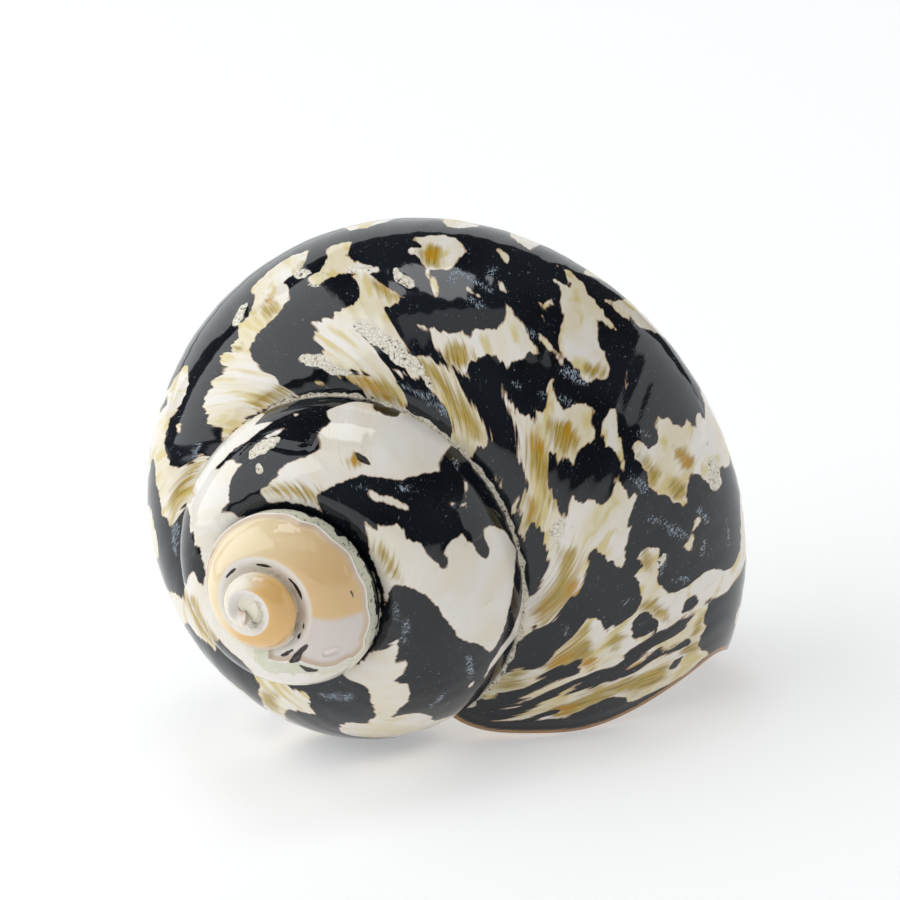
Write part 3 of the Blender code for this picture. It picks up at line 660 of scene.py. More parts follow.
def outline_field(outlines, angle, around):
    """Distance in mm to the edge of the nearest closed outline, positive inside.

    A place is inside where a line from it crosses the outline an odd number of times.
    """
    scale = np.array(local_scale(angle, around))
    field = np.full(angle.shape, -2.0 * FIELD_RANGE)
    for outline in outlines:
        points = np.radians(np.array(outline)[:, :2])
        near = near_to(points, angle, around, scale)
        here, round_here, scale_here = angle[near], around[near], scale[:, near]
        away = np.full(here.shape, np.inf)
        inside = np.zeros(here.shape, dtype=bool)
        for start, stop in zip(points, np.roll(points, -1, axis=0)):
            away = np.minimum(away, away_from_line(start, stop, here, round_here, scale_here)[0])
            crosses = (start[1] > round_here) != (stop[1] > round_here)
            rise = stop[1] - start[1] if stop[1] != start[1] else 1e-12
            inside ^= crosses & (here < start[0] + (round_here - start[1]) * (stop[0] - start[0]) / rise)
        field[near] = np.maximum(field[near], np.where(inside, away, -away))
    return field


def stroke_field(strokes, angle, around):
    """Distance in mm inside the nearest stroke: its half width there less the distance to its line."""
    scale = np.array(local_scale(angle, around))
    field = np.full(angle.shape, -2.0 * FIELD_RANGE)
    for stroke in strokes:
        points = np.radians(np.array(stroke)[:, :2])
        near = near_to(points, angle, around, scale)
        for k in range(len(points) - 1):
            away, share = away_from_line(points[k], points[k + 1], angle[near], around[near], scale[:, near])
            half = stroke[k][2] + (stroke[k + 1][2] - stroke[k][2]) * share
            field[near] = np.maximum(field[near], half - away)
    return field


def hidden_flames():
    """Flames of the sides that the photograph doesn't show: strokes that wander from start to navel."""
    draw = np.random.default_rng(HIDDEN_SEED)
    starts = [(start, BASE_EDGE + 8.0) for start in BASE_STARTS] + [(start, BACK_EDGE) for start in BACK_STARTS]
    flames = []
    for lean, around in starts:
        points = []
        while around > NAVEL_EDGE:
            points.append((lean, around, draw.uniform(0.3, 4.2)))
            around -= draw.uniform(7.0, 20.0)
            lean += draw.uniform(-8.0, 6.0)
        flames.append(tuple(points))
    return flames


def seam_distance(mesh, angle, corner_vert, slots):
    """Distance in mm from every face corner to the nearest vertex where two turns meet."""
    verts = np.empty(len(mesh.vertices) * 3, dtype=np.float32)
    mesh.vertices.foreach_get("co", verts)
    verts = verts.reshape(-1, 3) / MM
    skin = slots == SKIN
    low = np.full(len(verts), np.inf)
    high = np.full(len(verts), -np.inf)
    np.minimum.at(low, corner_vert[skin], angle[skin])
    np.maximum.at(high, corner_vert[skin], angle[skin])
    seam = verts[(high - low) > math.pi]
    away = np.empty(len(verts))
    for start in range(0, len(verts), 2000):
        block = verts[start:start + 2000]
        gap = np.linalg.norm(block[:, None, :] - seam[None, :, :], axis=2)
        away[start:start + 2000] = gap.min(axis=1)
    return away[corner_vert]


def tip_distance(mesh):
    """Distance in mm from every vertex to the tip."""
    verts = np.empty(len(mesh.vertices) * 3, dtype=np.float32)
    mesh.vertices.foreach_get("co", verts)
    return np.linalg.norm(verts.reshape(-1, 3) - np.array(TIP), axis=1) / MM


def crumble(places):
    """Uneven number from -1 to 1 at each place: a product and a sum of sines a few tenths of a mm apart."""
    x, y, z = places.T / MM
    bend = np.sin(2.1 * x + 1.3 * y) + np.sin(1.7 * z - 2.3 * x)
    return 0.5 * np.sin(9.0 * x + 3.0 * bend) * np.sin(8.0 * y - 2.0 * bend) + 0.5 * np.sin(7.0 * z + 3.0 * bend)


def step_up(values, low, high):
    """0 below low, 1 above high, and a smooth rise 3t^2 - 2t^3 between them."""
    t = np.clip((values - low) / (high - low), 0.0, 1.0)
    return t * t * (3.0 - 2.0 * t)


def raise_surface(mesh, corner_vert, fields, depth):
    """Moves the skin along its normals by its low relief, in mm: worn edge, scars, grooves, crust and pit."""
    count = len(mesh.vertices)
    places = np.empty(count * 3, dtype=np.float32)
    normals = np.empty(count * 3, dtype=np.float32)
    mesh.vertices.foreach_get("co", places)
    mesh.vertex_normals.foreach_get("vector", normals)
    places = places.reshape(-1, 3).astype(float)
    at = {}
    for name, values in fields.items():
        at[name] = np.zeros(count)
        at[name][corner_vert] = values
    rough = crumble(places)
    worn = at["worn"]
    height = 0.24 * np.exp(-((worn - 0.05) / 0.22) ** 2) - 0.32 * step_up(worn, 0.1, 0.9)
    height += step_up(at["scar"], -0.1, 0.5) * (0.10 + 0.12 * rough)
    height -= 0.30 * step_up(at["groove"], -0.3, 0.3)
    height += 0.12 * np.exp(-((at["groove"] + 0.45) / 0.2) ** 2)
    height += np.exp(-(at["seam"] / 0.45) ** 2) * (0.06 + 0.14 * rough)
    height -= 0.16 * step_up(at["dash"], -0.1, 0.3)
    height += 0.16 * np.exp(-((at["pit"] + 0.3) / 0.2) ** 2) - 0.5 * step_up(at["pit"], -0.2, 0.3)
    height *= at["skin"] * depth
    places += normals.reshape(-1, 3) * (height * MM)[:, None]
    low, high = np.array([list(corner) for corner in CAD_BOX])
    places = np.clip(places, low + BOX_INSET, high - BOX_INSET)
    mesh.vertices.foreach_set("co", places.ravel().astype(np.float32))
    mesh.update()


def store_colour(mesh, name, columns):
    """Stores four numbers a face corner as a colour attribute."""
    values = np.clip(np.stack(columns, axis=1), 0.0, 1.0).astype(np.float32)
    mesh.color_attributes.new(name, "FLOAT_COLOR", "CORNER").data.foreach_set("color", values.ravel())


def paint_fields(mesh, depth):
    """Works out the fields of the markings, raises the surface by them and stores them for the finishes."""
    angle, around = corner_turns(mesh)
    corner_vert = corner_verts(mesh)
    slots = np.empty(len(mesh.polygons), dtype=np.int32)
    mesh.polygons.foreach_get("material_index", slots)
    corners = np.empty(len(mesh.polygons), dtype=np.int32)
    mesh.polygons.foreach_get("loop_total", corners)
    slots = np.repeat(slots, corners)
    flow = np.stack(flow_coordinates(angle, around), axis=1).astype(np.float32)
    mesh.uv_layers.new(name="flow").data.foreach_set("uv", flow.ravel())
    ivory = np.maximum(outline_field(IVORY, angle, around), stroke_field(hidden_flames(), angle, around))
    ivory = np.minimum(ivory, -outline_field(DARK, angle, around))
    fields = {
        "worn": outline_field(WORN, angle, around),
        "scar": stroke_field(SCARS, angle, around),
        "scuff": stroke_field(SCUFFS, angle, around),
        "groove": stroke_field(GROOVES, angle, around),
        "dash": stroke_field(DASHES, angle, around),
        "pit": stroke_field((PIT,), angle, around),
        "seam": seam_distance(mesh, angle, corner_vert, slots),
        "skin": (slots == SKIN).astype(float),
    }
    from_tip = tip_distance(mesh)[corner_vert]
    fields["worn"] = np.maximum(fields["worn"], TIP_CAP - from_tip)
    fields["dash"] = np.maximum(np.minimum(fields["dash"], from_tip - TIP_CAP), 0.25 - from_tip)
    raise_surface(mesh, corner_vert, fields, depth)
    olive = outline_field(OLIVE, angle, around)
    ochre = outline_field(OCHRE, angle, around)
    marks = [0.5 + field / (2.0 * FIELD_RANGE) for field in (ivory, olive, ochre, fields["dash"])]
    wear = [0.5 + fields[name] / (2.0 * FIELD_RANGE) for name in ("scar", "scuff", "worn")]
    store_colour(mesh, "marks", marks)
    store_colour(mesh, "wear", wear + [fields["seam"] / SEAM_RANGE])
    to_lip = (lip_angle(around) - angle) * local_scale(angle, around)[0] / END_RANGE
    store_colour(mesh, "ends", [to_lip, to_lip * 0.0, to_lip * 0.0, to_lip * 0.0 + 1.0])


def linear(code):
    """Linear colour of an sRGB hex value."""
    parts = [int(code[i:i + 2], 16) / 255.0 for i in (1, 3, 5)]
    return tuple(c / 12.92 if c <= 0.04045 else ((c + 0.055) / 1.055) ** 2.4 for c in parts) + (1.0,)


def add(tree, kind, inputs=None, **settings):
    """A node of that kind, with its settings, and with its inputs set, or linked to a node or a socket."""
    made = tree.nodes.new(kind)
    for name, value in settings.items():
        setattr(made, name, value)
    for socket, value in (inputs or {}).items():
        if isinstance(value, bpy.types.Node):
            value = next(output for output in value.outputs if output.enabled)
        if isinstance(value, bpy.types.NodeSocket):
            tree.links.new(value, made.inputs[socket])
        else:
            made.inputs[socket].default_value = value
    return made


MATH, MIX, RANGE, NOISE = "ShaderNodeMath", "ShaderNodeMix", "ShaderNodeMapRange", "ShaderNodeTexNoise"
MAPPING, ATTRIBUTE, SPLIT, CELLS = (
    "ShaderNodeMapping", "ShaderNodeAttribute", "ShaderNodeSeparateColor", "ShaderNodeTexVoronoi")
TINT = {"data_type": "RGBA"}
SMOOTH = {"interpolation_type": "SMOOTHSTEP"}


def polished_shell(look):
    """Polished turban shell: layers of lime, ground and buffed. Black ground with ivory flames, high gloss.

    The buffing cut through the skin at the tip, where the older turns show the orange layer below.
    """
    material = bpy.data.materials.new("polished turban shell")
    material.use_nodes = True
    tree = material.node_tree
    shader = tree.nodes["Principled BSDF"]
    flow = add(tree, "ShaderNodeUVMap", uv_map="flow")
    turns = add(tree, "ShaderNodeSeparateXYZ", {0: add(tree, "ShaderNodeUVMap", uv_map="turns")})
    solid = add(tree, "ShaderNodeTexCoord").outputs["Object"]
    marks = add(tree, ATTRIBUTE, attribute_name="marks", attribute_type="GEOMETRY")
    wear = add(tree, ATTRIBUTE, attribute_name="wear", attribute_type="GEOMETRY")
    mark = add(tree, SPLIT, {0: marks.outputs["Color"]}).outputs
    worn = add(tree, SPLIT, {0: wear.outputs["Color"]}).outputs
    ends = add(tree, SPLIT, {0: add(tree, ATTRIBUTE, attribute_name="ends", attribute_type="GEOMETRY")})
    ends = [add(tree, MATH, {0: ends.outputs[0], 1: END_RANGE}, operation="MULTIPLY")]
    stored = {
        "ivory": mark[0], "olive": mark[1], "ochre": mark[2], "dash": marks.outputs["Alpha"],
        "scar": worn[0], "scuff": worn[1], "worn": worn[2],
    }
    field = {}
    for name, socket in stored.items():
        field[name] = add(tree, MATH, {0: socket, 1: 2.0 * FIELD_RANGE, 2: -FIELD_RANGE}, operation="MULTIPLY_ADD")

    # Streaks along the growth lines, 0.7, 2 and 0.3 mm apart, and crumbs 0.5 and 1.5 mm apart.
    streak = {}
    for name, scale, detail in (("tooth", (1000, 130, 1), 2.0), ("tongue", (420, 80, 1), 2.0),
                                ("hair", (3200, 110, 1), 2.0), ("cloud", (150, 60, 1), 3.0)):
        place = add(tree, MAPPING, {"Vector": flow, "Scale": scale})
        streak[name] = add(tree, NOISE, {"Vector": place, "Scale": 1.0, "Detail": detail})
    crumb = add(tree, NOISE, {"Vector": solid, "Scale": 2000.0, "Detail": 2.0})
    grit = add(tree, NOISE, {"Vector": solid, "Scale": 650.0, "Detail": 3.0})
    haze = add(tree, NOISE, {"Vector": solid, "Scale": 90.0, "Detail": 3.0})
    place = add(tree, MAPPING, {"Vector": flow, "Scale": (330, 120, 1)})
    patch = add(tree, NOISE, {"Vector": place, "Scale": 1.0, "Detail": 2.0, "Distortion": 0.4})

    # Flames: the edge is the stored field, moved by the streaks, so that it has teeth along the growth lines.
    lively = add(tree, RANGE, {0: turns.outputs[0], 1: -1.03, 2: -0.97, 3: 0.5, 4: 1.0}, **SMOOTH)
    jag = add(tree, MATH, {0: streak["tooth"], 1: 1.2, 2: -1.46}, operation="MULTIPLY_ADD")
    jag = add(tree, MATH, {0: streak["tongue"], 1: 1.6, 2: jag}, operation="MULTIPLY_ADD")
    jag = add(tree, MATH, {0: crumb, 1: 0.12, 2: jag}, operation="MULTIPLY_ADD")
    edge = add(tree, MATH, {0: jag, 1: lively, 2: field["ivory"]}, operation="MULTIPLY_ADD")
    is_ivory = add(tree, RANGE, {0: edge, 1: -0.06, 2: 0.08}, **SMOOTH)
    cloudy = add(tree, RANGE, {0: streak["cloud"], 1: 0.36, 2: 0.64}, **SMOOTH)
    cloudy = add(tree, MATH, {0: cloudy, 1: lively}, operation="MULTIPLY")
    ivory = add(tree, MIX, {0: cloudy, 6: look.ivory, 7: look.cream}, **TINT)
    last_turn = add(tree, RANGE, {0: turns.outputs[0], 1: -1.03, 2: -0.97}, **SMOOTH)
    gold = add(tree, MATH, {0: streak["tongue"], 1: 0.25, 2: patch}, operation="MULTIPLY_ADD")
    golden = add(tree, RANGE, {0: gold, 1: 0.62, 2: 0.80, 4: 0.75}, **SMOOTH)
    golden = add(tree, MATH, {0: golden, 1: last_turn}, operation="MULTIPLY")
    ivory = add(tree, MIX, {0: golden, 6: ivory, 7: linear("#d3bf70")}, **TINT)
    fine = add(tree, RANGE, {0: streak["hair"], 1: 0.60, 2: 0.74, 4: 0.3}, **SMOOTH)
    ivory = add(tree, MIX, {0: fine, 6: ivory, 7: linear("#cdb48a")}, **TINT)
    near_edge = add(tree, RANGE, {0: edge, 1: 0.02, 2: 0.22, 3: 0.75, 4: 0.0}, **SMOOTH)
    ivory = add(tree, MIX, {0: near_edge, 6: ivory, 7: linear("#8a6038")}, **TINT)
    olive_jag = add(tree, MATH, {0: streak["tooth"], 1: 3.0, 2: -1.7}, operation="MULTIPLY_ADD")
    olive_edge = add(tree, MATH, {0: field["olive"], 1: olive_jag}, operation="ADD")
    is_olive = add(tree, RANGE, {0: olive_edge, 1: -0.9, 2: 0.6, 4: 0.95}, **SMOOTH)
    deep = add(tree, RANGE, {0: streak["hair"], 1: 0.4, 2: 0.62}, **SMOOTH)
    olive = add(tree, MIX, {0: deep, 6: look.olive, 7: linear("#937a2c")}, **TINT)
    ivory = add(tree, MIX, {0: is_olive, 6: ivory, 7: olive}, **TINT)
    ochre_edge = add(tree, MATH, {0: field["ochre"], 1: olive_jag}, operation="ADD")
    is_ochre = add(tree, RANGE, {0: ochre_edge, 1: -0.9, 2: 0.5, 4: 0.95}, **SMOOTH)
    ivory = add(tree, MIX, {0: is_ochre, 6: ivory, 7: linear("#b98818")}, **TINT)

    # Black ground: nearly even, bluish grey in places, with pinholes that hold pale polish.
    hazy = add(tree, RANGE, {0: haze, 1: 0.35, 2: 0.65}, **SMOOTH)
    black = add(tree, MIX, {0: hazy, 6: look.black, 7: linear("#181c22")}, **TINT)
    cells = add(tree, CELLS, {"Vector": solid, "Scale": 620.0, "Randomness": 1.0})
    cell = add(tree, SPLIT, {0: cells.outputs["Color"]}).outputs
    hole_size = add(tree, MATH, {0: cell[0], 1: 0.5, 2: -0.43}, operation="MULTIPLY_ADD")
    hole = add(tree, MATH, {0: hole_size, 1: cells.outputs["Distance"]}, operation="SUBTRACT")
    is_hole = add(tree, RANGE, {0: hole, 1: -0.01, 2: 0.02, 4: 0.75}, **SMOOTH)
    black = add(tree, MIX, {0: is_hole, 6: black, 7: linear("#a9aeb4")}, **TINT)
    scratch_place = add(tree, MAPPING, {"Vector": flow, "Scale": (5200, 1300, 1)})
    scratches = add(tree, NOISE, {"Vector": scratch_place, "Scale": 1.0, "Detail": 2.0, "Distortion": 1.2})
    scuffed = add(tree, RANGE, {0: field["scuff"], 1: -0.5, 2: 0.5}, **SMOOTH)
    scratched = add(tree, MATH, {0: scuffed, 1: 0.20, 2: scratches}, operation="MULTIPLY_ADD")
    is_scratch = add(tree, RANGE, {0: scratched, 1: 0.70, 2: 0.76, 4: 0.85}, **SMOOTH)
    black = add(tree, MIX, {0: is_scratch, 6: black, 7: linear("#a4b2bf")}, **TINT)
    base = add(tree, MIX, {0: is_ivory, 6: black, 7: ivory}, **TINT)

    # Crust: worm tubes, barnacle scars and the grown-over line between the turns.
    scar_edge = add(tree, MATH, {0: grit, 1: 1.2, 2: field["scar"]}, operation="MULTIPLY_ADD")
    is_scar = add(tree, RANGE, {0: scar_edge, 1: 0.62, 2: 0.74}, **SMOOTH)
    seam = add(tree, MATH, {0: wear.outputs["Alpha"], 1: -SEAM_RANGE}, operation="MULTIPLY")
    seam_edge = add(tree, MATH, {0: grit, 1: 1.5, 2: seam}, operation="MULTIPLY_ADD")
    is_seam = add(tree, RANGE, {0: seam_edge, 1: 0.18, 2: 0.34}, **SMOOTH)
    is_crust = add(tree, MATH, {0: is_scar, 1: is_seam}, operation="MAXIMUM")
    speck = add(tree, RANGE, {0: crumb, 1: 0.60, 2: 0.68}, **SMOOTH)
    bent = add(tree, "ShaderNodeVectorMath", {0: grit.outputs["Color"], 1: (0.002, 0.002, 0.002), 2: solid},
               operation="MULTIPLY_ADD")
    lumps = add(tree, CELLS, {"Vector": bent, "Scale": 1500.0}, feature="DISTANCE_TO_EDGE")
    joint = add(tree, RANGE, {0: lumps, 1: 0.0, 2: 0.14, 3: 0.75, 4: 0.0}, **SMOOTH)
    crust = add(tree, MIX, {0: joint, 6: linear("#e9e4d6"), 7: linear("#b3a68c")}, **TINT)
    crust = add(tree, MIX, {0: speck, 6: crust, 7: linear("#54412c")}, **TINT)
    base = add(tree, MIX, {0: is_crust, 6: base, 7: crust}, **TINT)

    # Lip: the ground edge shows through the skin as a tan band.
    lip = add(tree, MATH, {0: streak["hair"], 1: 0.9, 2: ends[0]}, operation="MULTIPLY_ADD")
    is_lip = add(tree, RANGE, {0: lip, 1: 0.85, 2: 1.5, 3: 0.9, 4: 0.0}, **SMOOTH)
    base = add(tree, MIX, {0: is_lip, 6: base, 7: linear("#b58d66")}, **TINT)

    # Worn tip: peach to tan round the turns, pinkish grey at its mouth end, white under the seam and at the tip.
    layer = add(tree, RANGE, {0: turns.outputs[0], 1: -2.50, 2: -2.22}, **SMOOTH)
    worn_tint = add(tree, MIX, {0: layer, 6: linear("#efdcb6"), 7: look.worn}, **TINT)
    inner = add(tree, RANGE, {0: turns.outputs[0], 1: -2.9, 2: -2.75, 3: 1.0, 4: 0.0}, **SMOOTH)
    worn_tint = add(tree, MIX, {0: inner, 6: worn_tint, 7: linear("#e6ba78")}, **TINT)
    tip = add(tree, RANGE, {0: turns.outputs[0], 1: -3.45, 2: -3.3, 3: 1.0, 4: 0.0}, **SMOOTH)
    worn_tint = add(tree, MIX, {0: tip, 6: worn_tint, 7: linear("#ece4d2")}, **TINT)
    end = add(tree, MATH, {0: haze, 1: 0.06, 2: turns.outputs[0]}, operation="MULTIPLY_ADD")
    is_end = add(tree, RANGE, {0: end, 1: -2.128, 2: -2.108}, **SMOOTH)
    worn_tint = add(tree, MIX, {0: is_end, 6: worn_tint, 7: linear("#ddd2cc")}, **TINT)
    high = add(tree, MATH, {0: haze, 1: 0.03, 2: turns.outputs[1]}, operation="MULTIPLY_ADD")
    is_high = add(tree, RANGE, {0: high, 1: 0.295, 2: 0.315}, **SMOOTH)
    worn_tint = add(tree, MIX, {0: is_high, 6: worn_tint, 7: linear("#ece6df")}, **TINT)
    rim = add(tree, RANGE, {0: field["worn"], 1: 0.12, 2: 0.26}, **SMOOTH)
    bevel = add(tree, RANGE, {0: field["worn"], 1: 0.35, 2: 0.9}, **SMOOTH)
    worn_tint = add(tree, MIX, {0: bevel, 6: linear("#d2bca4"), 7: worn_tint}, **TINT)
    worn_tint = add(tree, MIX, {0: rim, 6: linear("#f1ede6"), 7: worn_tint}, **TINT)
    worn_edge = add(tree, MATH, {0: grit, 1: 0.3, 2: field["worn"]}, operation="MULTIPLY_ADD")
    ragged = add(tree, MATH, {0: grit, 1: 3.2, 2: field["worn"]}, operation="MULTIPLY_ADD")
    outside = add(tree, RANGE, {0: ragged, 1: -0.4, 2: -0.2}, **SMOOTH)
    crusty = add(tree, RANGE, {0: crumb, 1: 0.62, 2: 0.68, 3: 1.0, 4: 0.2}, **SMOOTH)
    outside_crust = add(tree, MATH, {0: outside, 1: crusty}, operation="MULTIPLY")
    base = add(tree, MIX, {0: outside_crust, 6: base, 7: linear("#d6d5c0")}, **TINT)
    is_worn = add(tree, RANGE, {0: worn_edge, 1: 0.08, 2: 0.2}, **SMOOTH)
    base = add(tree, MIX, {0: is_worn, 6: base, 7: worn_tint}, **TINT)
    dash_edge = add(tree, MATH, {0: grit, 1: 0.4, 2: field["dash"]}, operation="MULTIPLY_ADD")
    is_dash = add(tree, RANGE, {0: dash_edge, 1: 0.1, 2: 0.22}, **SMOOTH)
    base = add(tree, MIX, {0: is_dash, 6: base, 7: linear("#2a2018")}, **TINT)
    tree.links.new(next(output for output in base.outputs if output.enabled), shader.inputs["Base Color"])

    # Gloss: buffed all over, duller where the crust and the scratches break the polish.
    broken = add(tree, MATH, {0: is_crust, 1: is_scratch}, operation="MAXIMUM")
    dull = add(tree, RANGE, {0: broken, 3: look.roughness, 4: 0.5})
    tree.links.new(dull.outputs[0], shader.inputs["Roughness"])
    bumps = add(tree, MATH, {0: streak["hair"], 1: 0.25, 2: broken}, operation="MULTIPLY_ADD")
    bump = add(tree, "ShaderNodeBump", {"Height": bumps, "Distance": 0.00003, "Strength": 0.5})
    tree.links.new(bump.outputs[0], shader.inputs["Normal"])
    shader.inputs["IOR"].default_value = 1.53
    return material


def lip_edge():
    """Edge of the lip, ground flat through the layers of the wall: tan, pink and white bands, satin."""
    material = bpy.data.materials.new("lip edge")
    material.use_nodes = True
    tree = material.node_tree
    shader = tree.nodes["Principled BSDF"]
    solid = add(tree, "ShaderNodeTexCoord").outputs["Object"]
    layers = add(tree, NOISE, {"Vector": solid, "Scale": 260.0, "Detail": 2.0})
    banded = add(tree, RANGE, {0: layers, 1: 0.3, 2: 0.7}, **SMOOTH)
    tint = add(tree, MIX, {0: banded, 6: linear("#b8916a"), 7: linear("#d6bca4")}, **TINT)
    tree.links.new(tint.outputs[2], shader.inputs["Base Color"])
    bump = add(tree, "ShaderNodeBump", {"Height": layers, "Distance": 0.00008, "Strength": 0.6})
    tree.links.new(bump.outputs[0], shader.inputs["Normal"])
    shader.inputs["Roughness"].default_value = 0.34
    shader.inputs["IOR"].default_value = 1.56
    return material


def mother_of_pearl():
    """Mother of pearl, grown in thin plates: a silky lining whose tint drifts from rose to pale green."""
    material = bpy.data.materials.new("mother of pearl")
    material.use_nodes = True
    tree = material.node_tree
    shader = tree.nodes["Principled BSDF"]
    flow = add(tree, "ShaderNodeUVMap", uv_map="flow")
    place = add(tree, MAPPING, {"Vector": flow, "Scale": (260, 90, 1)})
    drift = add(tree, NOISE, {"Vector": place, "Scale": 1.0, "Detail": 4.0, "Distortion": 0.6})
    rosy = add(tree, RANGE, {0: drift, 1: 0.34, 2: 0.52}, **SMOOTH)
    green = add(tree, RANGE, {0: drift, 1: 0.52, 2: 0.68}, **SMOOTH)
    tint = add(tree, MIX, {0: rosy, 6: linear("#e6cfd2"), 7: linear("#ebe5dc")}, **TINT)
    tint = add(tree, MIX, {0: green, 6: tint, 7: linear("#cfe0d8")}, **TINT)
    tree.links.new(tint.outputs[2], shader.inputs["Base Color"])
    bump = add(tree, "ShaderNodeBump", {"Height": drift, "Distance": 0.0001, "Strength": 0.3})
    tree.links.new(bump.outputs[0], shader.inputs["Normal"])
    shader.inputs["Roughness"].default_value = 0.2
    shader.inputs["Metallic"].default_value = 0.15
    shader.inputs["Coat Weight"].default_value = 0.4
    shader.inputs["Coat Roughness"].default_value = 0.08
    return material


class ShellSettings(bpy.types.PropertyGroup):
    """What a user would change on the shell."""
    relief: bpy.props.FloatProperty(
        name="Relief", description="Strength of the scars, crust and worn edge", default=1.0, min=0.0,
        max=2.0, subtype="FACTOR")
    roughness: bpy.props.FloatProperty(
        name="Roughness", description="Roughness of the polish", default=0.06, min=0.02, max=0.8,
        subtype="FACTOR")
    black: bpy.props.FloatVectorProperty(
        name="Black", description="Ground colour of the shell", default=linear("#0c0f15"), size=4,
        min=0.0, max=1.0, subtype="COLOR")
    ivory: bpy.props.FloatVectorProperty(
        name="Ivory", description="Lightest colour of the flames", default=linear("#ece7e0"), size=4,
        min=0.0, max=1.0, subtype="COLOR")
    cream: bpy.props.FloatVectorProperty(
        name="Cream", description="Warm colour of the flames", default=linear("#e3d8bb"), size=4,
        min=0.0, max=1.0, subtype="COLOR")
    olive: bpy.props.FloatVectorProperty(
        name="Olive", description="Colour of the streaks in the flames", default=linear("#bfa44e"), size=4,
        min=0.0, max=1.0, subtype="COLOR")
    worn: bpy.props.FloatVectorProperty(
        name="Worn", description="Colour of the layer that shows at the worn tip", default=linear("#e2bf8a"),
        size=4, min=0.0, max=1.0, subtype="COLOR")


class StageSettings(bpy.types.PropertyGroup):
    """What a user would change on the stage."""
    floor_size: bpy.props.FloatProperty(
        name="Floor size", description="Side of the pale floor", default=8.0, unit="LENGTH")
    floor_glow: bpy.props.FloatProperty(
        name="Floor glow", description="Light from below through the white floor", default=0.36, min=0.0)
    light: bpy.props.FloatProperty(
        name="Light", description="Strength of the studio lights", default=1.0, min=0.0, subtype="FACTOR")


class TURBAN_OT_shell(bpy.types.Operator):
    """Make the shell, its colours and its mother of pearl lining"""
    bl_idname = "turban.shell"
    bl_label = "Shell"

    def execute(self, context):
        look = context.scene.turban_shell
        pieces = skin_pieces()
        hollow_angles = np.arange(HOLLOW_START, HOLLOW_PAST_LIP + 0.5 * DEG, HOLLOW_STEP * DEG)
        hollow = closed_tube("hollow", tube_rows(hollow_angles, HOLLOW_POINTS, hollow_reach), slot=LINING)
        mesh = united_mesh("shell", pieces[:-1] + [turned_core(), pieces[-1]], hollow)
        paint_fields(mesh, look.relief)
        slots = np.empty(len(mesh.polygons), dtype=np.int32)
        mesh.polygons.foreach_get("material_index", slots)
        mesh.materials.clear()
        for material in (polished_shell(look), lip_edge(), mother_of_pearl()):
            mesh.materials.append(material)
        mesh.polygons.foreach_set("material_index", slots)
        mesh.shade_smooth()
        mesh.set_sharp_from_angle(angle=SHARP_EDGE)
        shell = bpy.data.objects.new("shell", mesh)
        context.scene.collection.objects.link(shell)
        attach(shell, "root")
        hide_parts("turban_shell")
        return {"FINISHED"}


CAMERA_TARGET = Vector((1.16, -1.12, 37.62)) * MM
CAMERA_HEADING = 2.58 * DEG      # to the right of the view along +Y
CAMERA_DROP = 18.53 * DEG        # looking down
CAMERA_ROLL = 6.11 * DEG         # the camera leans to its right
CAMERA_DISTANCE = 694.2 * MM
LENS = 216.0                     # mm on a 36 mm sensor
SHARP_EDGE = 40 * DEG
LIGHT_TINT = (0.95, 0.98, 1.0)
LIT_POINT = Vector((0.0, 0.0, 0.03))
ROOM_LIGHT = 0.30
ROOM_MIRRORED = 0.05             # the dark side of the studio, as the polish mirrors it
# Soft boxes: heading from +Y to the right and height over the floor in degrees, distance, sides (m), brightness.
LIGHTS = (
    ("left box", -94, 36, 1.0, (1.5, 1.15), 1.75),
    ("back wall", -6, 20, 1.6, (2.1, 1.1), 1.1),
    ("right box", 80, 10, 1.0, (1.3, 0.5), 1.0),
    ("top box", 20, 84, 1.1, (0.45, 0.4), 3.2),
    ("front box", 165, 62, 1.2, (0.9, 0.6), 0.7),
)


def look_matrix(place, target, roll=0.0):
    """Stands at place and looks at target, upright, then rolled about the view."""
    facing = (target - place).to_track_quat("-Z", "Y").to_matrix().to_4x4()
    return Matrix.Translation(place) @ facing @ Matrix.Rotation(-roll, 4, "Z")


def direction(heading, height):
    """Unit vector at a heading from +Y towards +X and a height over the floor, both in radians."""
    return Vector((math.sin(heading) * math.cos(height), math.cos(heading) * math.cos(height), math.sin(height)))


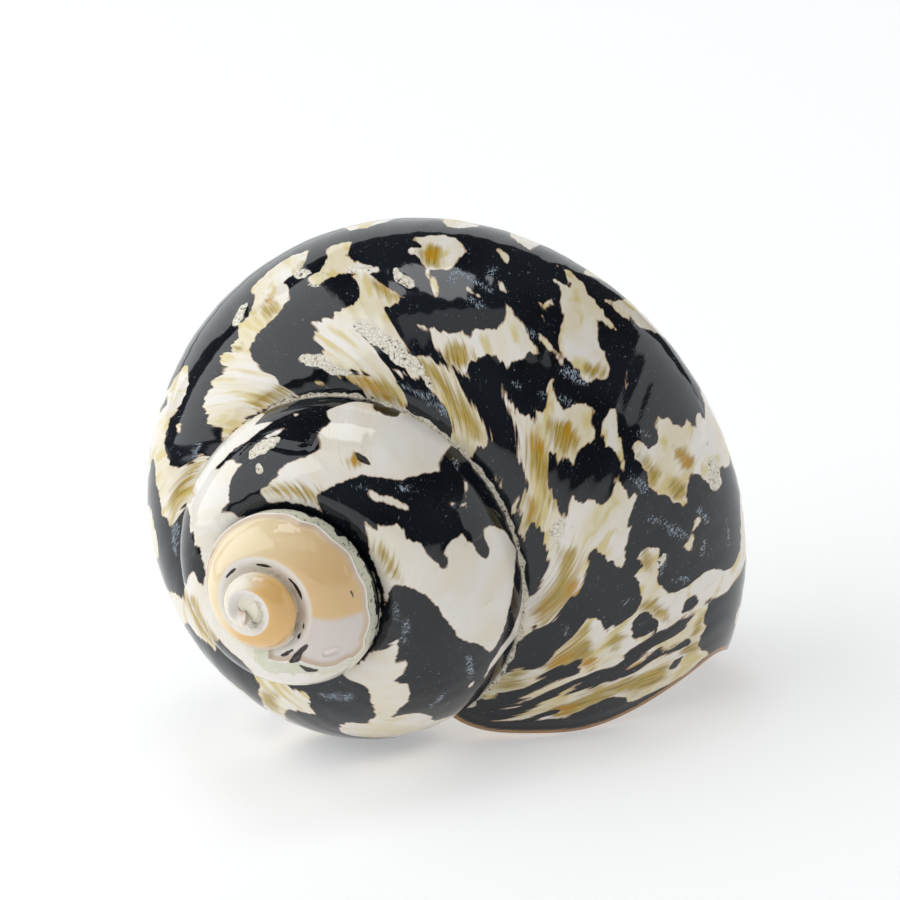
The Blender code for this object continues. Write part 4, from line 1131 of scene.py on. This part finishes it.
class TURBAN_OT_stage(bpy.types.Operator):
    """Make the floor, the studio lights and the camera"""
    bl_idname = "turban.stage"
    bl_label = "Stage"

    def execute(self, context):
        settings = context.scene.turban_stage
        self.make_floor(context, settings)
        for name, heading, height, distance, size, brightness in LIGHTS:
            place = LIT_POINT + direction(heading * DEG, height * DEG) * distance
            power = brightness * math.pi * size[0] * size[1] * settings.light
            self.make_light(context, name, place, size, power)
        self.make_camera(context)
        self.make_world(context)
        return {"FINISHED"}

    def make_floor(self, context, settings):
        half = settings.floor_size / 2
        mesh = bpy.data.meshes.new("floor")
        corners = [(-half, -half, 0), (half, -half, 0), (half, half, 0), (-half, half, 0)]
        mesh.from_pydata(corners, [], [(0, 1, 2, 3)])
        paper = bpy.data.materials.new("white paper")
        paper.use_nodes = True
        shader = paper.node_tree.nodes["Principled BSDF"]
        shader.inputs["Base Color"].default_value = (0.68, 0.68, 0.68, 1.0)
        shader.inputs["Roughness"].default_value = 0.9
        shader.inputs["Emission Color"].default_value = (1.0, 1.0, 1.0, 1.0)
        shader.inputs["Emission Strength"].default_value = settings.floor_glow
        mesh.materials.append(paper)
        floor = bpy.data.objects.new("floor", mesh)
        context.scene.collection.objects.link(floor)

    def make_light(self, context, name, place, size, power):
        light = bpy.data.lights.new(name, "AREA")
        light.shape = "RECTANGLE"
        light.size, light.size_y = size
        light.color = LIGHT_TINT
        light.energy = power
        made = bpy.data.objects.new(name, light)
        made.matrix_world = look_matrix(place, LIT_POINT)
        made.visible_camera = False
        context.scene.collection.objects.link(made)

    def make_camera(self, context):
        back = -direction(CAMERA_HEADING, -CAMERA_DROP)
        camera = bpy.data.cameras.new("camera")
        camera.lens = LENS
        camera.sensor_width = 36.0
        camera.clip_start = 0.01
        made = bpy.data.objects.new("camera", camera)
        made.matrix_world = look_matrix(CAMERA_TARGET + back * CAMERA_DISTANCE, CAMERA_TARGET, CAMERA_ROLL)
        context.scene.collection.objects.link(made)
        context.scene.camera = made

    def make_world(self, context):
        world = bpy.data.worlds.new("white room")
        world.use_nodes = True
        tree = world.node_tree
        background = tree.nodes["Background"]
        path = add(tree, "ShaderNodeLightPath").outputs
        room = add(tree, RANGE, {0: path["Is Glossy Ray"], 3: ROOM_LIGHT, 4: ROOM_MIRRORED})
        light = add(tree, "ShaderNodeBackground", {"Color": (1, 1, 1, 1), "Strength": room})
        background.inputs["Color"].default_value = (1.0, 1.0, 1.0, 1.0)
        background.inputs["Strength"].default_value = 1.0
        both = add(tree, "ShaderNodeMixShader", {0: path["Is Camera Ray"], 1: light, 2: background})
        tree.links.new(both.outputs[0], tree.nodes["World Output"].inputs["Surface"])
        context.scene.world = world
        context.scene.view_settings.view_transform = "Standard"


class TURBAN_PT_panel(bpy.types.Panel):
    """Lists the steps that make the shell and its stage"""
    bl_idname = "TURBAN_PT_panel"
    bl_label = "Turban shell"
    bl_space_type = "VIEW_3D"
    bl_region_type = "UI"
    bl_category = "Turban shell"

    def draw(self, context):
        for settings in (context.scene.turban_shell, context.scene.turban_stage):
            for name in settings.bl_rna.properties.keys():
                if name not in ("rna_type", "name"):
                    self.layout.prop(settings, name)
        for operator in STEPS:
            self.layout.operator(operator.bl_idname)


STEPS = (TURBAN_OT_stage, TURBAN_OT_shell)
CLASSES = (ShellSettings, StageSettings) + STEPS + (TURBAN_PT_panel,)


def register():
    for kind in CLASSES:
        bpy.utils.register_class(kind)
    bpy.types.Scene.turban_shell = bpy.props.PointerProperty(type=ShellSettings)
    bpy.types.Scene.turban_stage = bpy.props.PointerProperty(type=StageSettings)


def unregister():
    del bpy.types.Scene.turban_stage
    del bpy.types.Scene.turban_shell
    for kind in reversed(CLASSES):
        bpy.utils.unregister_class(kind)


def main():
    register()
    bpy.ops.turban.stage()
    bpy.ops.turban.shell()


if __name__ == "__main__":
    main()
